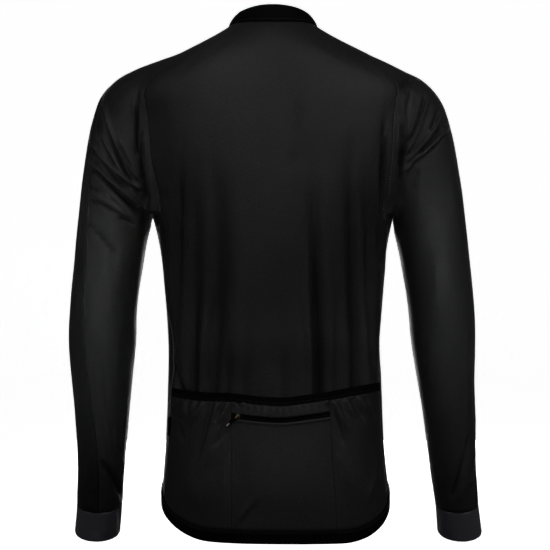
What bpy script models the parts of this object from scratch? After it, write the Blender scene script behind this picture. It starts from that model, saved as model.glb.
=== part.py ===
"""Cycling jacket, worn shape, seen from behind at -Y. Wearer's right is +X, front is +Y, up is +Z.

The origin is the middle of the neck, level with the points where neck and shoulders meet.
Sizes are in millimetres, and `add_mesh` turns them into metres. Angles are in degrees round the body,
0 at the middle of the back and 180 at the front zip, positive on the wearer's right.
"""

import bmesh
import bpy
import numpy as np

MM = 0.001

# Cloth
WALL = 1.6
LIGHT_WALL = 1.4
SEAM_GAP = 0.3

# Heights
BACK_HEM = -699.0
FRONT_HEM = -600.0
HEM_BAND = 18.5
HEM_BAND_WALL, HEM_BAND_LIFT = 2.8, 1.8
SHOULDER_BASE = -112.0
ARMPIT = -262.0

# The hem drops from the front length to the back length between these angles.
HEM_TURN_END, HEM_TURN_START = 30.0, 150.0

# The hem hangs lower on the right, and its left corner is a little higher again: angle, spread and rise
HEM_TILT = 1.5
HEM_LEFT_ANGLE, HEM_LEFT_SPREAD, HEM_LEFT_RISE = -58.0, 24.0, 4.0

# Neck and collar
NECK_HALF_WIDTH, NECK_BACK, NECK_FRONT = 62.0, 58.0, 68.0
NECK_HEIGHTS = (0.5, -8.0, -58.0)
COLLAR_HALF_WIDTH, COLLAR_BACK, COLLAR_FRONT = 55.5, 50.0, 60.0
COLLAR_HEIGHTS = (25.5, 4.0, -30.0)
COLLAR_BELLY = 1.5
COLLAR_START = 0.012

# Body rings: height, middle, half width, depth behind and before the middle, squareness
BODY = np.array([
    (-112, 0.0, 200.0, 104, 100, 3.00),
    (-160, 0.0, 193.0, 113, 110, 2.95),
    (-210, 0.0, 181.0, 117, 115, 2.80),
    (-262, 0.0, 165.0, 116, 116, 2.50),
    (-300, 0.5, 156.5, 112, 112, 2.40),
    (-340, 0.8, 151.5, 106, 108, 2.35),
    (-380, 1.0, 148.0, 101, 104, 2.35),
    (-440, 1.4, 144.8, 100, 102, 2.35),
    (-500, 2.4, 146.8, 105, 103, 2.35),
    (-583, 2.7, 150.2, 114, 107, 2.35),
    (-640, 3.4, 155.0, 117, 109, 2.35),
    (-720, 3.4, 156.5, 115, 108, 2.35),
])[::-1]

# Side seams: height, angle of the seam behind on the left and right, and in front
SIDE_SEAMS = np.array([
    (-262, 64, 65, 114),
    (-280, 70, 71, 110),
    (-304, 75, 77, 107),
    (-440, 74, 79, 105),
    (-515, 71, 77, 105),
    (-610, 74, 78, 105),
    (-720, 75, 78, 105),
])[::-1]

# Armhole seams: level on the body, and the seam's distance from the middle behind left, behind right, in front
ARMHOLE = np.array([
    (0.800, 159.0, 157.5, 152),
    (0.862, 166.7, 161.3, 158),
    (0.938, 170.8, 163.3, 161),
    (1.000, 174.5, 166.0, 162),
    (1.110, 174.0, 168.0, 160),
    (1.260, 166.5, 163.0, 153),
    (1.430, 147.0, 149.0, 141),
    (1.580, 127.5, 131.0, 126),
])
ARMHOLE_TOP = 1.700

# Sleeve rings: outer edge x and z and inner edge x and z (distances from the middle line),
# depth of the middle, half depth, and how far the forearm swings forward
SLEEVE_LEFT = np.array([
    (119, -35, 163, -262, 0, 60, 0),
    (153, -46, 164, -264, 0, 62, 0),
    (190, -60, 165, -266, 0, 64, 0),
    (218, -76, 166, -268, 0, 64, 0),
    (238, -101, 167, -272, 0, 64, 0),
    (250, -138, 168, -277, 0, 63, 0),
    (258, -184, 170, -284, 0, 61, 0),
    (265, -240, 173, -297, -1, 59, 0),
    (272, -310, 178, -326, -1, 56, 1),
    (279, -385, 187, -388, 4, 52, 6),
    (282, -435, 189, -435, 13, 50, 12),
    (279, -488, 195, -488, 26, 46, 15),
    (275, -544, 201, -544, 41, 42, 16),
    (273, -601, 207, -601, 57, 38, 17),
    (276, -663, 212, -663, 75, 35, 18),
    (280, -703, 216, -704, 88, 35, 20),
])
SLEEVE_RIGHT = np.array([
    (119, -35, 163, -262, 0, 60, 0),
    (150, -47, 164, -264, 0, 62, 0),
    (180, -61, 164, -266, 0, 64, 0),
    (207, -75, 164, -268, 0, 64, 0),
    (230, -102, 165, -272, 0, 64, 0),
    (243, -138, 166, -277, 0, 63, 0),
    (253, -184, 167, -284, 0, 61, 0),
    (261, -240, 170, -297, -1, 59, 0),
    (269, -310, 176, -326, -1, 56, 1),
    (277, -385, 186, -388, 4, 52, 6),
    (279, -435, 191, -435, 13, 50, 12),
    (279, -488, 200, -488, 26, 46, 15),
    (282, -544, 210, -544, 41, 42, 16),
    (284, -601, 218, -601, 57, 38, 17),
    (289, -663, 228, -663, 75, 35, 18),
    (295, -704, 232, -703, 88, 35, 20),
])
CUFF_ROW = 14
LAST_ROW = 15

# Long seam of each sleeve: ring number, and angle from the outer edge towards the back, left and right
SLEEVE_SEAM = np.array([
    (0, 0, 2),
    (3, 12, 18),
    (5, 24, 6),
    (7, 38, 0),
    (9, 52, -4),
    (11, 68, 0),
    (13, 88, 22),
    (15, 96, 54),
])

# Folds: start x and z, end x and z, height (troughs are negative), half width, sideways bow
BACK_FOLDS = np.array([
    (-122, -190, -136, -492, -3.0, 11, 2),
    (-96, -200, -108, -490, -3.2, 12, -2),
    (-61, -170, -80, -492, -3.0, 13, 3),
    (-44, -400, -46, -492, -2.0, 9, 0),
    (10, -200, 8, -480, -1.8, 16, 3),
    (50, -180, 62, -492, -3.2, 13, -3),
    (99, -190, 106, -490, -3.0, 12, 2),
    (122, -245, 134, -430, -2.6, 9, 0),
])
FRONT_FOLDS = np.array([
    (-110, -210, -122, -560, -3.0, 13, 3),
    (-58, -260, -70, -600, -2.6, 14, -3),
    (54, -230, 66, -600, -2.8, 14, 3),
    (108, -220, 124, -540, -3.0, 12, -2),
])
SLEEVE_BACK_FOLDS = np.array([
    (-246, -118, -182, -215, 4.0, 9, 8),
    (-236, -150, -184, -226, -3.0, 7, 6),
    (-248, -165, -180, -238, 3.6, 8, 7),
    (-250, -200, -186, -262, 3.6, 8, 6),
    (-252, -238, -188, -274, -3.2, 8, 5),
    (-252, -272, -212, -312, -3.0, 9, 4),
    (-268, -600, -228, -648, 2.4, 8, 0),
    (207, -100, 174, -182, 4.0, 9, -8),
    (228, -120, 176, -196, 3.8, 9, -8),
    (236, -142, 178, -208, 3.4, 8, -7),
    (250, -186, 186, -252, -3.0, 8, -6),
    (254, -240, 196, -290, 2.6, 9, -5),
    (268, -570, 240, -596, 2.4, 9, 0),
])
SLEEVE_FRONT_FOLDS = np.array([
    (-246, -130, -182, -222, 3.6, 9, 7),
    (-250, -190, -186, -256, 3.2, 8, 6),
    (-270, -380, -200, -408, -3.2, 10, -4),
    (-274, -420, -200, -440, -3.0, 9, -3),
    (240, -124, 178, -214, 3.6, 9, -7),
    (248, -186, 184, -250, 3.2, 8, -6),
    (270, -378, 200, -404, -3.2, 10, 4),
    (274, -418, 204, -444, -3.0, 9, 3),
])
POCKET_FOLDS = np.array([
    (-54, -506, -96, -590, 2.6, 7, 4),
    (-60, -535, -80, -566, 1.6, 5, 0),
    (-118, -520, -128, -640, 2.0, 9, 0),
    (84, -505, 100, -560, 2.6, 7, -3),
    (-30, -636, -52, -668, 2.4, 7, 2),
    (22, -560, 16, -650, 1.8, 11, 3),
    (60, -600, 68, -660, 1.6, 8, 0),
    (118, -530, 112, -640, 1.8, 9, 0),
])

# Pockets: x, and the height of the top edge of their binding
POCKET_TOPS = np.array([
    (-136, -494.5),
    (-100, -498.5),
    (-55, -499.5),
    (-18, -503.5),
    (12, -505.0),
    (45, -501.5),
    (75, -497.5),
    (105, -492.5),
    (140, -488.0),
])
BINDING = 12.0
BINDING_WALL = 1.5
STRIP = 15.0
ZIP_TAPE = 6.6
POCKET_SEAM_LEFT = -55.0
POCKET_SEAM_RIGHT_TOP, POCKET_SEAM_RIGHT_FOOT = 75.0, 85.0
POCKET_EDGE = 3.2
POCKET_CLEAR = 0.8
POCKET_FULLNESS = 3.0
POCKET_DEPTH = 165.0
PLAIN_COLUMNS = 12
WAVE_COLUMNS = 4
GATHER_ROWS = np.array([23.0, 12.0, 4.5, 0.0])
COARSE_TOP = 34.0
GATHER_RISE = 1.0
GATHER_FADE, STRIP_FADE = 15.0, 9.0
GATHERS = {"pocket_left": 9, "pocket_centre": 0, "pocket_strip": 11, "pocket_right": 8}

# Zips
CHAIN_HALF_WIDTH = 3.0
CHAIN_THICKNESS = 2.4
PIPING_RADIUS = 0.9
PIPING_SIDES = 5

# Side tab: its ends, how far it stands out from the seam, and its wall
TAB_TOP, TAB_FOOT, TAB_OUT = -530.0, -556.0, 4.5
TAB_WALL, TAB_LIFT = 1.0, 1.3

# Zip slider and pull, in their own frame: x along the hinge, y out of the cloth, z up the zip
SLIDER_WIDTH, SLIDER_THICK, SLIDER_LENGTH = 8.0, 2.6, 11.0
BAIL_BAR, BAIL_LENGTH, BAIL_RISE = 1.4, 7.0, 3.0
BAIL_SUNK = 0.5
PIN_HALF, PIN_HEIGHT, PULL_GAP = 0.75, 0.9, 0.4
RAIL, PULL_WIDTH = 1.4, 6.6
PIN = (0.0, SLIDER_THICK + PULL_GAP + PIN_HALF, PIN_HEIGHT)
FRONT_PULL_LENGTH, FRONT_PULL_TIP = 24.0, 4.6
POCKET_PULL_LENGTH, POCKET_PULL_TIP = 27.0, 4.4
FRONT_SLIDER_PART = 0.80
POCKET_SLIDER_X = -47.0
POCKET_PULL_LEAN = 43.0
POCKET_ZIP_SCALE = 0.78

# Grid cells round each panel
SIDE_COLUMNS = 4
FRONT_COLUMNS = 9
BACK_COLUMNS = 14
COLLAR_POINTS = 37

# Direction that says which end of a seam's edge is the higher one
RIM_ORDER = np.array([0.31, 0.17, 1.0])

# Colours, as linear values
CLOTH = (0.012, 0.012, 0.013, 1.0)
TRIM = (0.006, 0.006, 0.006, 1.0)
CUFF = (0.017, 0.017, 0.022, 1.0)
GREY = (0.30, 0.31, 0.32, 1.0)
BRASS = (0.55, 0.38, 0.16, 1.0)


def smoothstep(value, start=0.0, end=1.0):
    """Rise from 0 to 1 with level ends."""
    t = np.clip((value - start) / (end - start), 0.0, 1.0)
    return t * t * (3.0 - 2.0 * t)


def spline(at, knots, values):
    """Smooth curve through a table's rows, whose slopes are those between the neighbouring rows."""
    at = np.asarray(at, float)
    slopes = np.gradient(values, knots)
    row = np.clip(np.searchsorted(knots, at) - 1, 0, len(knots) - 2)
    span = knots[row + 1] - knots[row]
    t = np.clip((at - knots[row]) / span, 0.0, 1.0)
    rise = values[row + 1] - values[row]
    hermite = t * t * (3 - 2 * t) * rise
    bend = t * (1 - t) ** 2 * slopes[row] - t * t * (1 - t) * slopes[row + 1]
    return values[row] + hermite + bend * span


def unit(vectors):
    """Vectors made one long."""
    return vectors / np.maximum(np.linalg.norm(vectors, axis=-1, keepdims=True), 1e-9)


def superellipse(angle, half_width, behind, before, squareness):
    """Point of a rounded-square ring at an angle from the middle of the back, as x and y."""
    sine, cosine = np.sin(np.radians(angle)), np.cos(np.radians(angle))
    x = half_width * np.sign(sine) * np.abs(sine) ** (2 / squareness)
    depth = np.where(cosine > 0, behind, before)
    return x, -depth * np.sign(cosine) * np.abs(cosine) ** (2 / squareness)


def ring_point(angle, height):
    """Point of the body below the shoulders, from the rings of the table."""
    middle, half_width, behind, before, square = (spline(height, BODY[:, 0], BODY[:, i]) for i in range(1, 6))
    x, y = superellipse(angle, half_width, behind, before, square)
    return np.stack([middle + x, y, height + 0 * x], axis=-1)


def loop_point(angle, half_width, behind, before, heights):
    """Point of a neck loop: an ellipse whose height is a parabola of its depth through three heights."""
    x, y = superellipse(angle, half_width, behind, before, 2.0)
    curve = np.polyfit((-behind, 0.0, before), heights, 2)
    return np.stack([x, y, np.polyval(curve, y)], axis=-1)


def neck_point(angle):
    """Point of the seam between body and collar."""
    return loop_point(angle, NECK_HALF_WIDTH, NECK_BACK, NECK_FRONT, NECK_HEIGHTS)


def shoulder_point(angle, part):
    """Cubic curve from the shoulder base (0) up and over to the neck seam (1)."""
    foot, below = ring_point(angle, SHOULDER_BASE), ring_point(angle, SHOULDER_BASE - 5.0)
    neck = neck_point(angle)
    rise = (neck[..., 2:] - foot[..., 2:]) / 5.0
    slope = 0.95 - 0.30 * np.sin(np.radians(angle)) ** 2
    first = foot + (foot - below) * rise * 0.45
    out = (foot - neck) * 0.4
    out[..., 2] = -slope * np.linalg.norm(out[..., :2], axis=-1)
    second = neck + out
    t = part[..., None]
    return (1 - t) ** 3 * foot + 3 * t * (1 - t) ** 2 * first + 3 * t * t * (1 - t) * second + t**3 * neck


def hem_height(angle):
    """Height of the hem: level across the back, curving up at the sides to a shorter front."""
    drop = 1 - smoothstep(np.abs(angle), HEM_TURN_END, HEM_TURN_START)
    left = HEM_LEFT_RISE * np.exp(-(((angle - HEM_LEFT_ANGLE) / HEM_LEFT_SPREAD) ** 2))
    return FRONT_HEM + (BACK_HEM - FRONT_HEM) * drop - HEM_TILT * np.sin(np.radians(angle)) * drop + left


def row_height(angle, level):
    """Height of a level of the body: 0 follows the hem, and 0.3 to 1 lie level."""
    fade = 1 - smoothstep(level, 0.0, 0.3)
    return BACK_HEM + level * (SHOULDER_BASE - BACK_HEM) + (hem_height(angle) - BACK_HEM) * fade


def level_of(height):
    """Level of a height on the straight part of the body."""
    return (height - BACK_HEM) / (SHOULDER_BASE - BACK_HEM)


def fold_rise(x, z, folds):
    """Sum of soft folds. Each is a bell across a bowed line, faded in and out along it."""
    total = np.zeros_like(x)
    for x0, z0, x1, z1, rise, width, bow in folds:
        length = np.hypot(x1 - x0, z1 - z0)
        ahead, aside = np.array([x1 - x0, z1 - z0]) / length, np.array([z0 - z1, x1 - x0]) / length
        along = ((x - x0) * ahead[0] + (z - z0) * ahead[1]) / length
        across = (x - x0) * aside[0] + (z - z0) * aside[1] - bow * 4 * along * (1 - along)
        ends = smoothstep(along, -0.12, 0.25) * (1 - smoothstep(along, 0.75, 1.12))
        total += rise * ends * np.exp(-((across / width) ** 2))
    return total


def plain_body(angle, level):
    """Body without its folds."""
    angle, level = np.broadcast_arrays(np.asarray(angle, float), np.asarray(level, float))
    low = ring_point(angle, row_height(angle, np.minimum(level, 1.0)))
    high = shoulder_point(angle, np.clip(level - 1.0, 0.0, 1.0))
    return np.where(level[..., None] <= 1.0, low, high)


def normals_of(surface, u, v, step_u, step_v):
    """Outward normals of a surface function, from points just beside each one."""
    across = surface(u + step_u, v) - surface(u - step_u, v)
    up = surface(u, v + step_v) - surface(u, v - step_v)
    return unit(np.cross(across, up))


def body(angle, level):
    """Body with its folds, which stand along its normals."""
    angle, level = np.broadcast_arrays(np.asarray(angle, float), np.asarray(level, float))
    points = plain_body(angle, level)
    normals = normals_of(plain_body, angle, level, 0.5, 0.002)
    back = smoothstep(np.cos(np.radians(angle)), 0.12, 0.4)
    front = smoothstep(-np.cos(np.radians(angle)), 0.05, 0.35)
    x, z = points[..., 0], points[..., 2]
    rise = back * fold_rise(x, z, BACK_FOLDS) + front * fold_rise(x, z, FRONT_FOLDS)
    return points + normals * rise[..., None]


def body_normals(angle, level):
    """Normals of the folded body. The last level before the neck looks downwards only."""
    angle, level = np.broadcast_arrays(np.asarray(angle, float), np.asarray(level, float))
    return normals_of(body, angle, np.minimum(level, 1.996), 0.5, 0.002)


def angle_at(level, distance, front=False):
    """Angle at which a level of the body is so far from its middle line."""
    angles = np.linspace(0.0, 90.0, 361)
    points = plain_body(180.0 - angles if front else angles, np.full(angles.shape, level))
    middle = plain_body(np.array([180.0 if front else 0.0]), np.array([level]))[0, 0]
    found = np.interp(distance, np.abs(points[:, 0] - middle), angles)
    return 180.0 - found if front else found


def grid_normals(points, closed):
    """Normals of a grid whose rows run down and whose columns run round, by differences."""
    if closed:
        across = np.roll(points, -1, axis=1) - np.roll(points, 1, axis=1)
    else:
        across = np.gradient(points, axis=1)
    return unit(np.cross(across, np.gradient(points, axis=0)))


def pull_in(points, normals, edges):
    """Move a grid's edges in by half a seam gap, square to the seam and along the cloth."""
    moved = points.copy()
    picks = {
        "left": ((slice(None), 0), (slice(None), 1)),
        "right": ((slice(None), -1), (slice(None), -2)),
        "foot": ((0,), (1,)),
        "head": ((-1,), (-2,)),
    }
    for edge in edges:
        line, inner = picks[edge]
        along = np.gradient(points[line], axis=0)
        inward = unit(np.cross(normals[line], along))
        towards = np.sum(inward * (points[inner] - points[line]), axis=-1, keepdims=True)
        moved[line] += inward * np.sign(towards) * SEAM_GAP / 2
    return moved


def material(name, colour, roughness=0.8, metallic=0.0):
    """One finish, shared by the pieces that name it."""
    finish = bpy.data.materials.get(name)
    if finish is None:
        finish = bpy.data.materials.new(name)
        finish.use_nodes = True
        shader = finish.node_tree.nodes["Principled BSDF"]
        shader.inputs["Base Color"].default_value = colour
        shader.inputs["Roughness"].default_value = roughness
        shader.inputs["Metallic"].default_value = metallic
    return finish


def add_mesh(name, points, faces, finish, parent=None):
    """Closed mesh in metres, its faces turned outwards."""
    mesh = bpy.data.meshes.new(name)
    mesh.from_pydata((np.asarray(points).reshape(-1, 3) * MM).tolist(), [], faces)
    form = bmesh.new()
    form.from_mesh(mesh)
    bmesh.ops.recalc_face_normals(form, faces=form.faces)
    form.to_mesh(mesh)
    form.free()
    mesh.materials.append(finish)
    piece = bpy.data.objects.new(name, mesh)
    bpy.context.scene.collection.objects.link(piece)
    if parent is not None:
        piece.parent = parent
        piece.matrix_parent_inverse = parent.matrix_world.inverted()
    return piece


def strips(rows, columns, closed, start=0):
    """Quads of a grid of points, as point numbers."""
    row, column = np.meshgrid(np.arange(rows - 1), np.arange(columns if closed else columns - 1), indexing="ij")
    after = (column + 1) % columns
    quads = [row * columns + column, row * columns + after, (row + 1) * columns + after, (row + 1) * columns + column]
    return (np.stack(quads, axis=-1).reshape(-1, 4) + start).tolist()


def rim_faces(points, rim, count):
    """Triangles between an outer rim and the inner one a count of points further on. Their diagonals start at the
    higher end, so two pieces that meet at a seam are divided alike."""
    faces = []
    for a, b in zip(rim[:-1].tolist(), rim[1:].tolist()):
        if (points[a] - points[b]) @ RIM_ORDER > 0:
            faces += [(b, a, b + count), (a, a + count, b + count)]
        else:
            faces += [(b, a, a + count), (b, a + count, b + count)]
    return faces


def cloth(name, points, normals, finish, wall=WALL, closed=False, lift=0.0):
    """Cloth wall: a grid lifted along its normals, a second one a wall further in, and the rims between."""
    rows, columns = points.shape[:2]
    outer = points + normals * lift
    inner = points + normals * (lift - wall)
    count = rows * columns
    faces = strips(rows, columns, closed)
    faces += [face[::-1] for face in strips(rows, columns, closed, count)]
    rings = np.arange(count).reshape(rows, columns)
    if closed:
        rims = [np.append(rings[0], rings[0, 0]), np.append(rings[-1], rings[-1, 0])[::-1]]
    else:
        rims = [np.concatenate([rings[0], rings[1:, -1], rings[-1, -2::-1], rings[-2::-1, 0]])]
    flat = np.concatenate([outer.reshape(-1, 3), inner.reshape(-1, 3)])
    for rim in rims:
        faces += rim_faces(flat, rim, count)
    return add_mesh(name, flat, faces, finish)


def seam_angle(column, height):
    """Angle of a side seam at a height: columns 1 and 2 lie behind, left and right, and 3 in front."""
    return spline(height, SIDE_SEAMS[:, 0], SIDE_SEAMS[:, column])


LOW_LEVELS = np.concatenate([
    np.linspace(level_of(BACK_HEM + HEM_BAND), level_of(-505), 6)[:-1],
    np.linspace(level_of(-505), level_of(ARMPIT), 9),
])
ARMHOLE_LEVELS = np.concatenate([np.linspace(level_of(ARMPIT), 1.0, 6)[1:], np.linspace(1.0, ARMHOLE_TOP, 7)[1:]])
TOP_LEVELS = np.linspace(ARMHOLE_TOP, 2.0, 4)[1:]


def armhole_angles(column, front):
    """Angles of an armhole seam at its levels, from just over the armpit to the shoulder line."""
    knots = np.concatenate([[level_of(ARMPIT)], ARMHOLE[:, 0], [ARMHOLE_TOP]])
    side = seam_angle(3 if front else column, ARMPIT)
    found = [angle_at(level, distance, front) for level, distance in ARMHOLE[:, [0, column]]]
    return spline(ARMHOLE_LEVELS, knots, np.concatenate([[side], found, [90.0]]))


def border_angles(column, front):
    """Angles of a panel's outer border from the hem band to the neck."""
    low = seam_angle(3 if front else column, row_height(90.0, LOW_LEVELS))
    return np.concatenate([low, armhole_angles(column, front), np.full(len(TOP_LEVELS), 90.0)])


def levels():
    """All levels of the front and back panels."""
    return np.concatenate([LOW_LEVELS, ARMHOLE_LEVELS, TOP_LEVELS])


def side_angles(side):
    """Angles of a side panel's columns at every low level."""
    back = seam_angle(1 if side < 0 else 2, row_height(90.0, LOW_LEVELS))
    front = seam_angle(3, row_height(90.0, LOW_LEVELS))
    part = np.linspace(0.0, 1.0, SIDE_COLUMNS + 1)
    return back[:, None] + (front - back)[:, None] * part


def armhole_loop(side):
    """Angles and levels round an armhole: down the back from the shoulder, under the arm and up the front."""
    column = 1 if side < 0 else 2
    back = armhole_angles(column, False)[::-1]
    front = armhole_angles(3, True)
    under = side_angles(side)[-1]
    angle = np.concatenate([back, under, front[:-1]])
    under_level = np.full(len(under), level_of(ARMPIT))
    level = np.concatenate([ARMHOLE_LEVELS[::-1], under_level, ARMHOLE_LEVELS[:-1]])
    return side * angle, level


def sleeve_grid(side):
    """Sleeve and cuff as rings round the arm, the first of them the armhole, with the seams' columns."""
    table = SLEEVE_LEFT if side < 0 else SLEEVE_RIGHT
    steps = np.concatenate([
        np.linspace(0.0, 8.0, 14)[:-1],
        np.linspace(8.0, CUFF_ROW, 8),
        [LAST_ROW],
    ])
    knots = np.arange(len(table), dtype=float)
    outer_x, outer_z, inner_x, inner_z, depth, half_depth, swing = (spline(steps, knots, table[:, i]) for i in range(7))
    outer = np.stack([side * outer_x, depth, outer_z], axis=-1)
    inner = np.stack([side * inner_x, depth, inner_z], axis=-1)
    middle, reach = (outer + inner) / 2, (outer - inner) / 2
    turn = np.radians(swing)
    behind = np.stack([0 * turn, -np.cos(turn), -np.sin(turn)], axis=-1) * half_depth[:, None]

    angle, level = armhole_loop(side)
    loop = body(angle, level)
    loop_normals = body_normals(angle, level)
    off = loop - middle[0]
    along_reach = off @ reach[0] / (reach[0] @ reach[0])
    start = np.degrees(np.arctan2(off @ behind[0] / (behind[0] @ behind[0]), along_reach)) % 360.0
    start[0] = 0.0
    count = len(loop)
    under = len(ARMHOLE_LEVELS) + SIDE_COLUMNS // 2
    seam = spline(steps, SLEEVE_SEAM[:, 0], SLEEVE_SEAM[:, 1 if side < 0 else 2])[:, None]
    column = np.arange(count)
    back_part, front_part = column / under, (column - under) / (count - under)
    target = np.where(column <= under, seam + (180 - seam) * back_part, 180 + (180 + seam) * front_part)
    settle = smoothstep(steps / 6.0)[:, None]
    around = np.radians(start + (target - start) * settle)[..., None]
    rings = middle[:, None] + np.cos(around) * reach[:, None] + np.sin(around) * behind[:, None]
    miss = loop - rings[0]
    points = rings + miss * (1 - smoothstep(steps / 4.5))[:, None, None]

    normals = grid_normals(points, True)
    if np.sum(normals[-1] * (points[-1] - middle[-1])) < 0:
        normals = -normals
    back = smoothstep(-normals[..., 1], 0.0, 0.4) * smoothstep(steps, 0.1, 1.6)[:, None]
    front = smoothstep(normals[..., 1], 0.0, 0.4) * smoothstep(steps, 0.1, 1.6)[:, None]
    x, z = points[..., 0], points[..., 2]
    rise = back * fold_rise(x, z, SLEEVE_BACK_FOLDS) + front * fold_rise(x, z, SLEEVE_FRONT_FOLDS)
    points = points + normals * rise[..., None]
    folded = grid_normals(points, True)
    folded *= np.sign(np.sum(folded * normals, axis=-1, keepdims=True))
    folded[0] = unit(folded[0] + loop_normals)
    cuff = int(np.argmin(np.abs(steps - CUFF_ROW)))
    return points, folded, under, cuff


def make_sleeve(side):
    """One sleeve: its back piece, its outer and front piece, and its cuff. Returns the armhole's normals."""
    word = "left" if side < 0 else "right"
    points, normals, under, cuff = sleeve_grid(side)
    wrap = np.append(np.arange(points.shape[1]), 0)
    pieces = {"sleeve_back": wrap[: under + 1], "sleeve_outer": wrap[under:]}
    for name, columns in pieces.items():
        part, facing = points[: cuff + 1][:, columns], normals[: cuff + 1][:, columns]
        part = pull_in(part, facing, ("left", "right", "foot", "head"))
        cloth(f"{name}_{word}", part, facing, material("cloth", CLOTH))
    ring, facing = points[cuff:].copy(), normals[cuff:]
    down = unit(ring[-1] - ring[0])
    ring[0] += down * SEAM_GAP / 2
    cloth(f"cuff_{word}", ring, facing, material("cuff", CUFF, 0.5), closed=True)
    return normals[0]


def back_angles():
    """Angles of the back panel's columns at every level."""
    part = np.linspace(0.0, 1.0, BACK_COLUMNS + 1)
    left, right = -border_angles(1, False)[:, None], border_angles(2, False)[:, None]
    return np.concatenate([left * (1 - part), right * part[1:]], axis=1)


def make_back(armholes):
    """Back panel, from side seam to side seam and from the hem band to the neck. Its borders in the armholes
    take the normals that the sleeves have there."""
    angle = back_angles()
    grid_level = np.repeat(levels()[:, None], angle.shape[1], axis=1)
    points, normals = body(angle, grid_level), body_normals(angle, grid_level)
    rows = np.arange(len(LOW_LEVELS) - 1, len(LOW_LEVELS) + len(ARMHOLE_LEVELS))
    normals[rows, 0] = armholes[-1][: len(rows)][::-1]
    normals[rows, -1] = armholes[1][: len(rows)][::-1]
    points = pull_in(points, normals, ("left", "right", "foot", "head"))
    cloth("back_panel", points, normals, material("cloth", CLOTH))


def make_side(side, armhole):
    """Narrow panel under one arm."""
    angle = side * side_angles(side)
    level = np.repeat(LOW_LEVELS[:, None], angle.shape[1], axis=1)
    points, normals = body(angle, level), body_normals(angle, level)
    first = len(ARMHOLE_LEVELS)
    normals[-1] = armhole[first : first + SIDE_COLUMNS + 1]
    points = pull_in(points, normals, ("left", "right", "foot", "head"))
    cloth(f"side_panel_{'left' if side < 0 else 'right'}", points, normals, material("cloth", CLOTH))


def front_angles():
    """Angles of a front's columns at every level, from the side seam to beside the zip."""
    inner = np.array([angle_at(level, CHAIN_HALF_WIDTH + SEAM_GAP, True) for level in levels()])[:, None]
    outer = border_angles(3, True)[:, None]
    return outer + (inner - outer) * np.linspace(0.0, 1.0, FRONT_COLUMNS + 1)


def make_front(side, armhole):
    """One front, from its side seam to the zip."""
    angle = side * front_angles()
    grid_level = np.repeat(levels()[:, None], angle.shape[1], axis=1)
    points, normals = body(angle, grid_level), body_normals(angle, grid_level)
    rows = np.arange(len(LOW_LEVELS) - 1, len(LOW_LEVELS) + len(ARMHOLE_LEVELS))
    loop = np.concatenate([armhole, armhole[:1]])
    normals[rows, 0] = loop[-len(rows) :]
    points = pull_in(points, normals, ("left", "foot", "head"))
    cloth(f"front_{'left' if side < 0 else 'right'}", points, normals, material("cloth", CLOTH))


def make_hem_band():
    """Elastic band along the whole hem, open at the zip."""
    back, front = back_angles()[0], front_angles()[0]
    left, right = side_angles(-1)[0], side_angles(1)[0]
    angle = np.unique(np.concatenate([back, front, -front, -left, right]))
    level = np.array([0.0, LOW_LEVELS[0]])[:, None] + 0 * angle
    angle = angle[None] + 0 * level
    points, normals = body(angle, level), body_normals(angle, level)
    points[-1, :, 2] -= SEAM_GAP
    cloth("hem_band", points, normals, material("trim", TRIM, 0.7),
          wall=HEM_BAND_WALL, lift=HEM_BAND_LIFT)


def collar_point(angle, part):
    """Collar between its seam (0) and its top edge (1), bellied out a little half way up."""
    foot = neck_point(angle)
    head = loop_point(angle, COLLAR_HALF_WIDTH, COLLAR_BACK, COLLAR_FRONT, COLLAR_HEIGHTS)
    points = foot + (head - foot) * part[..., None]
    out = unit(points * np.array([1.0, 1.0, 0.0]))
    return points + out * (COLLAR_BELLY * 4 * part * (1 - part))[..., None]


def collar_edge(part):
    """Angle at which the collar stops beside the zip."""
    half_width = NECK_HALF_WIDTH + (COLLAR_HALF_WIDTH - NECK_HALF_WIDTH) * part
    return 180.0 - np.degrees(np.arcsin((CHAIN_HALF_WIDTH + SEAM_GAP) / half_width))


def make_collar():
    """Low stand collar."""
    part = np.array([COLLAR_START, 0.5, 1.0])[:, None] + np.zeros(COLLAR_POINTS)
    angle = collar_edge(part) * np.linspace(-1.0, 1.0, COLLAR_POINTS)
    points = collar_point(angle, part)
    normals = normals_of(collar_point, angle, np.clip(part, 0.02, 0.98), 0.5, 0.02)
    cloth("collar", points, normals, material("trim", TRIM, 0.7))


def make_front_zip():
    """Closed chain of the front zip, from the hem to the top of the collar."""
    across = np.linspace(-1.0, 1.0, 3)
    low = np.concatenate([[0.0], LOW_LEVELS[::2], ARMHOLE_LEVELS[::2], TOP_LEVELS])
    edge = np.array([180.0 - angle_at(level, CHAIN_HALF_WIDTH, True) for level in low])[:, None]
    angle, level = 180.0 - edge * across, low[:, None] + 0 * across
    points, normals = body(angle, level), body_normals(angle, level)
    part = np.linspace(0.0, 1.0, 4)[1:, None] + 0 * across
    turned = 180.0 - (180.0 - collar_edge(part)) * across * CHAIN_HALF_WIDTH / (CHAIN_HALF_WIDTH + SEAM_GAP)
    neck = collar_point(turned, part)
    neck_normals = normals_of(collar_point, turned, np.clip(part, 0.02, 0.98), 0.5, 0.02)
    points, normals = np.concatenate([points, neck]), np.concatenate([normals, neck_normals])
    lift = (CHAIN_THICKNESS - WALL) / 2
    cloth("front_zip", points, normals, material("trim", TRIM, 0.5), wall=CHAIN_THICKNESS, lift=lift)


def pocket_top(x):
    """Height of the binding's top edge."""
    return spline(x, POCKET_TOPS[:, 0], POCKET_TOPS[:, 1])


def back_angle(x, height):
    """Angle of a point behind at a distance x, from the ring at its height."""
    middle, half_width, square = (spline(height, BODY[:, 0], BODY[:, i]) for i in (1, 2, 5))
    ratio = np.clip(np.abs(x - middle) / half_width, 0.0, 0.999)
    return np.sign(x - middle) * np.degrees(np.arcsin(ratio ** (square / 2)))


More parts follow.
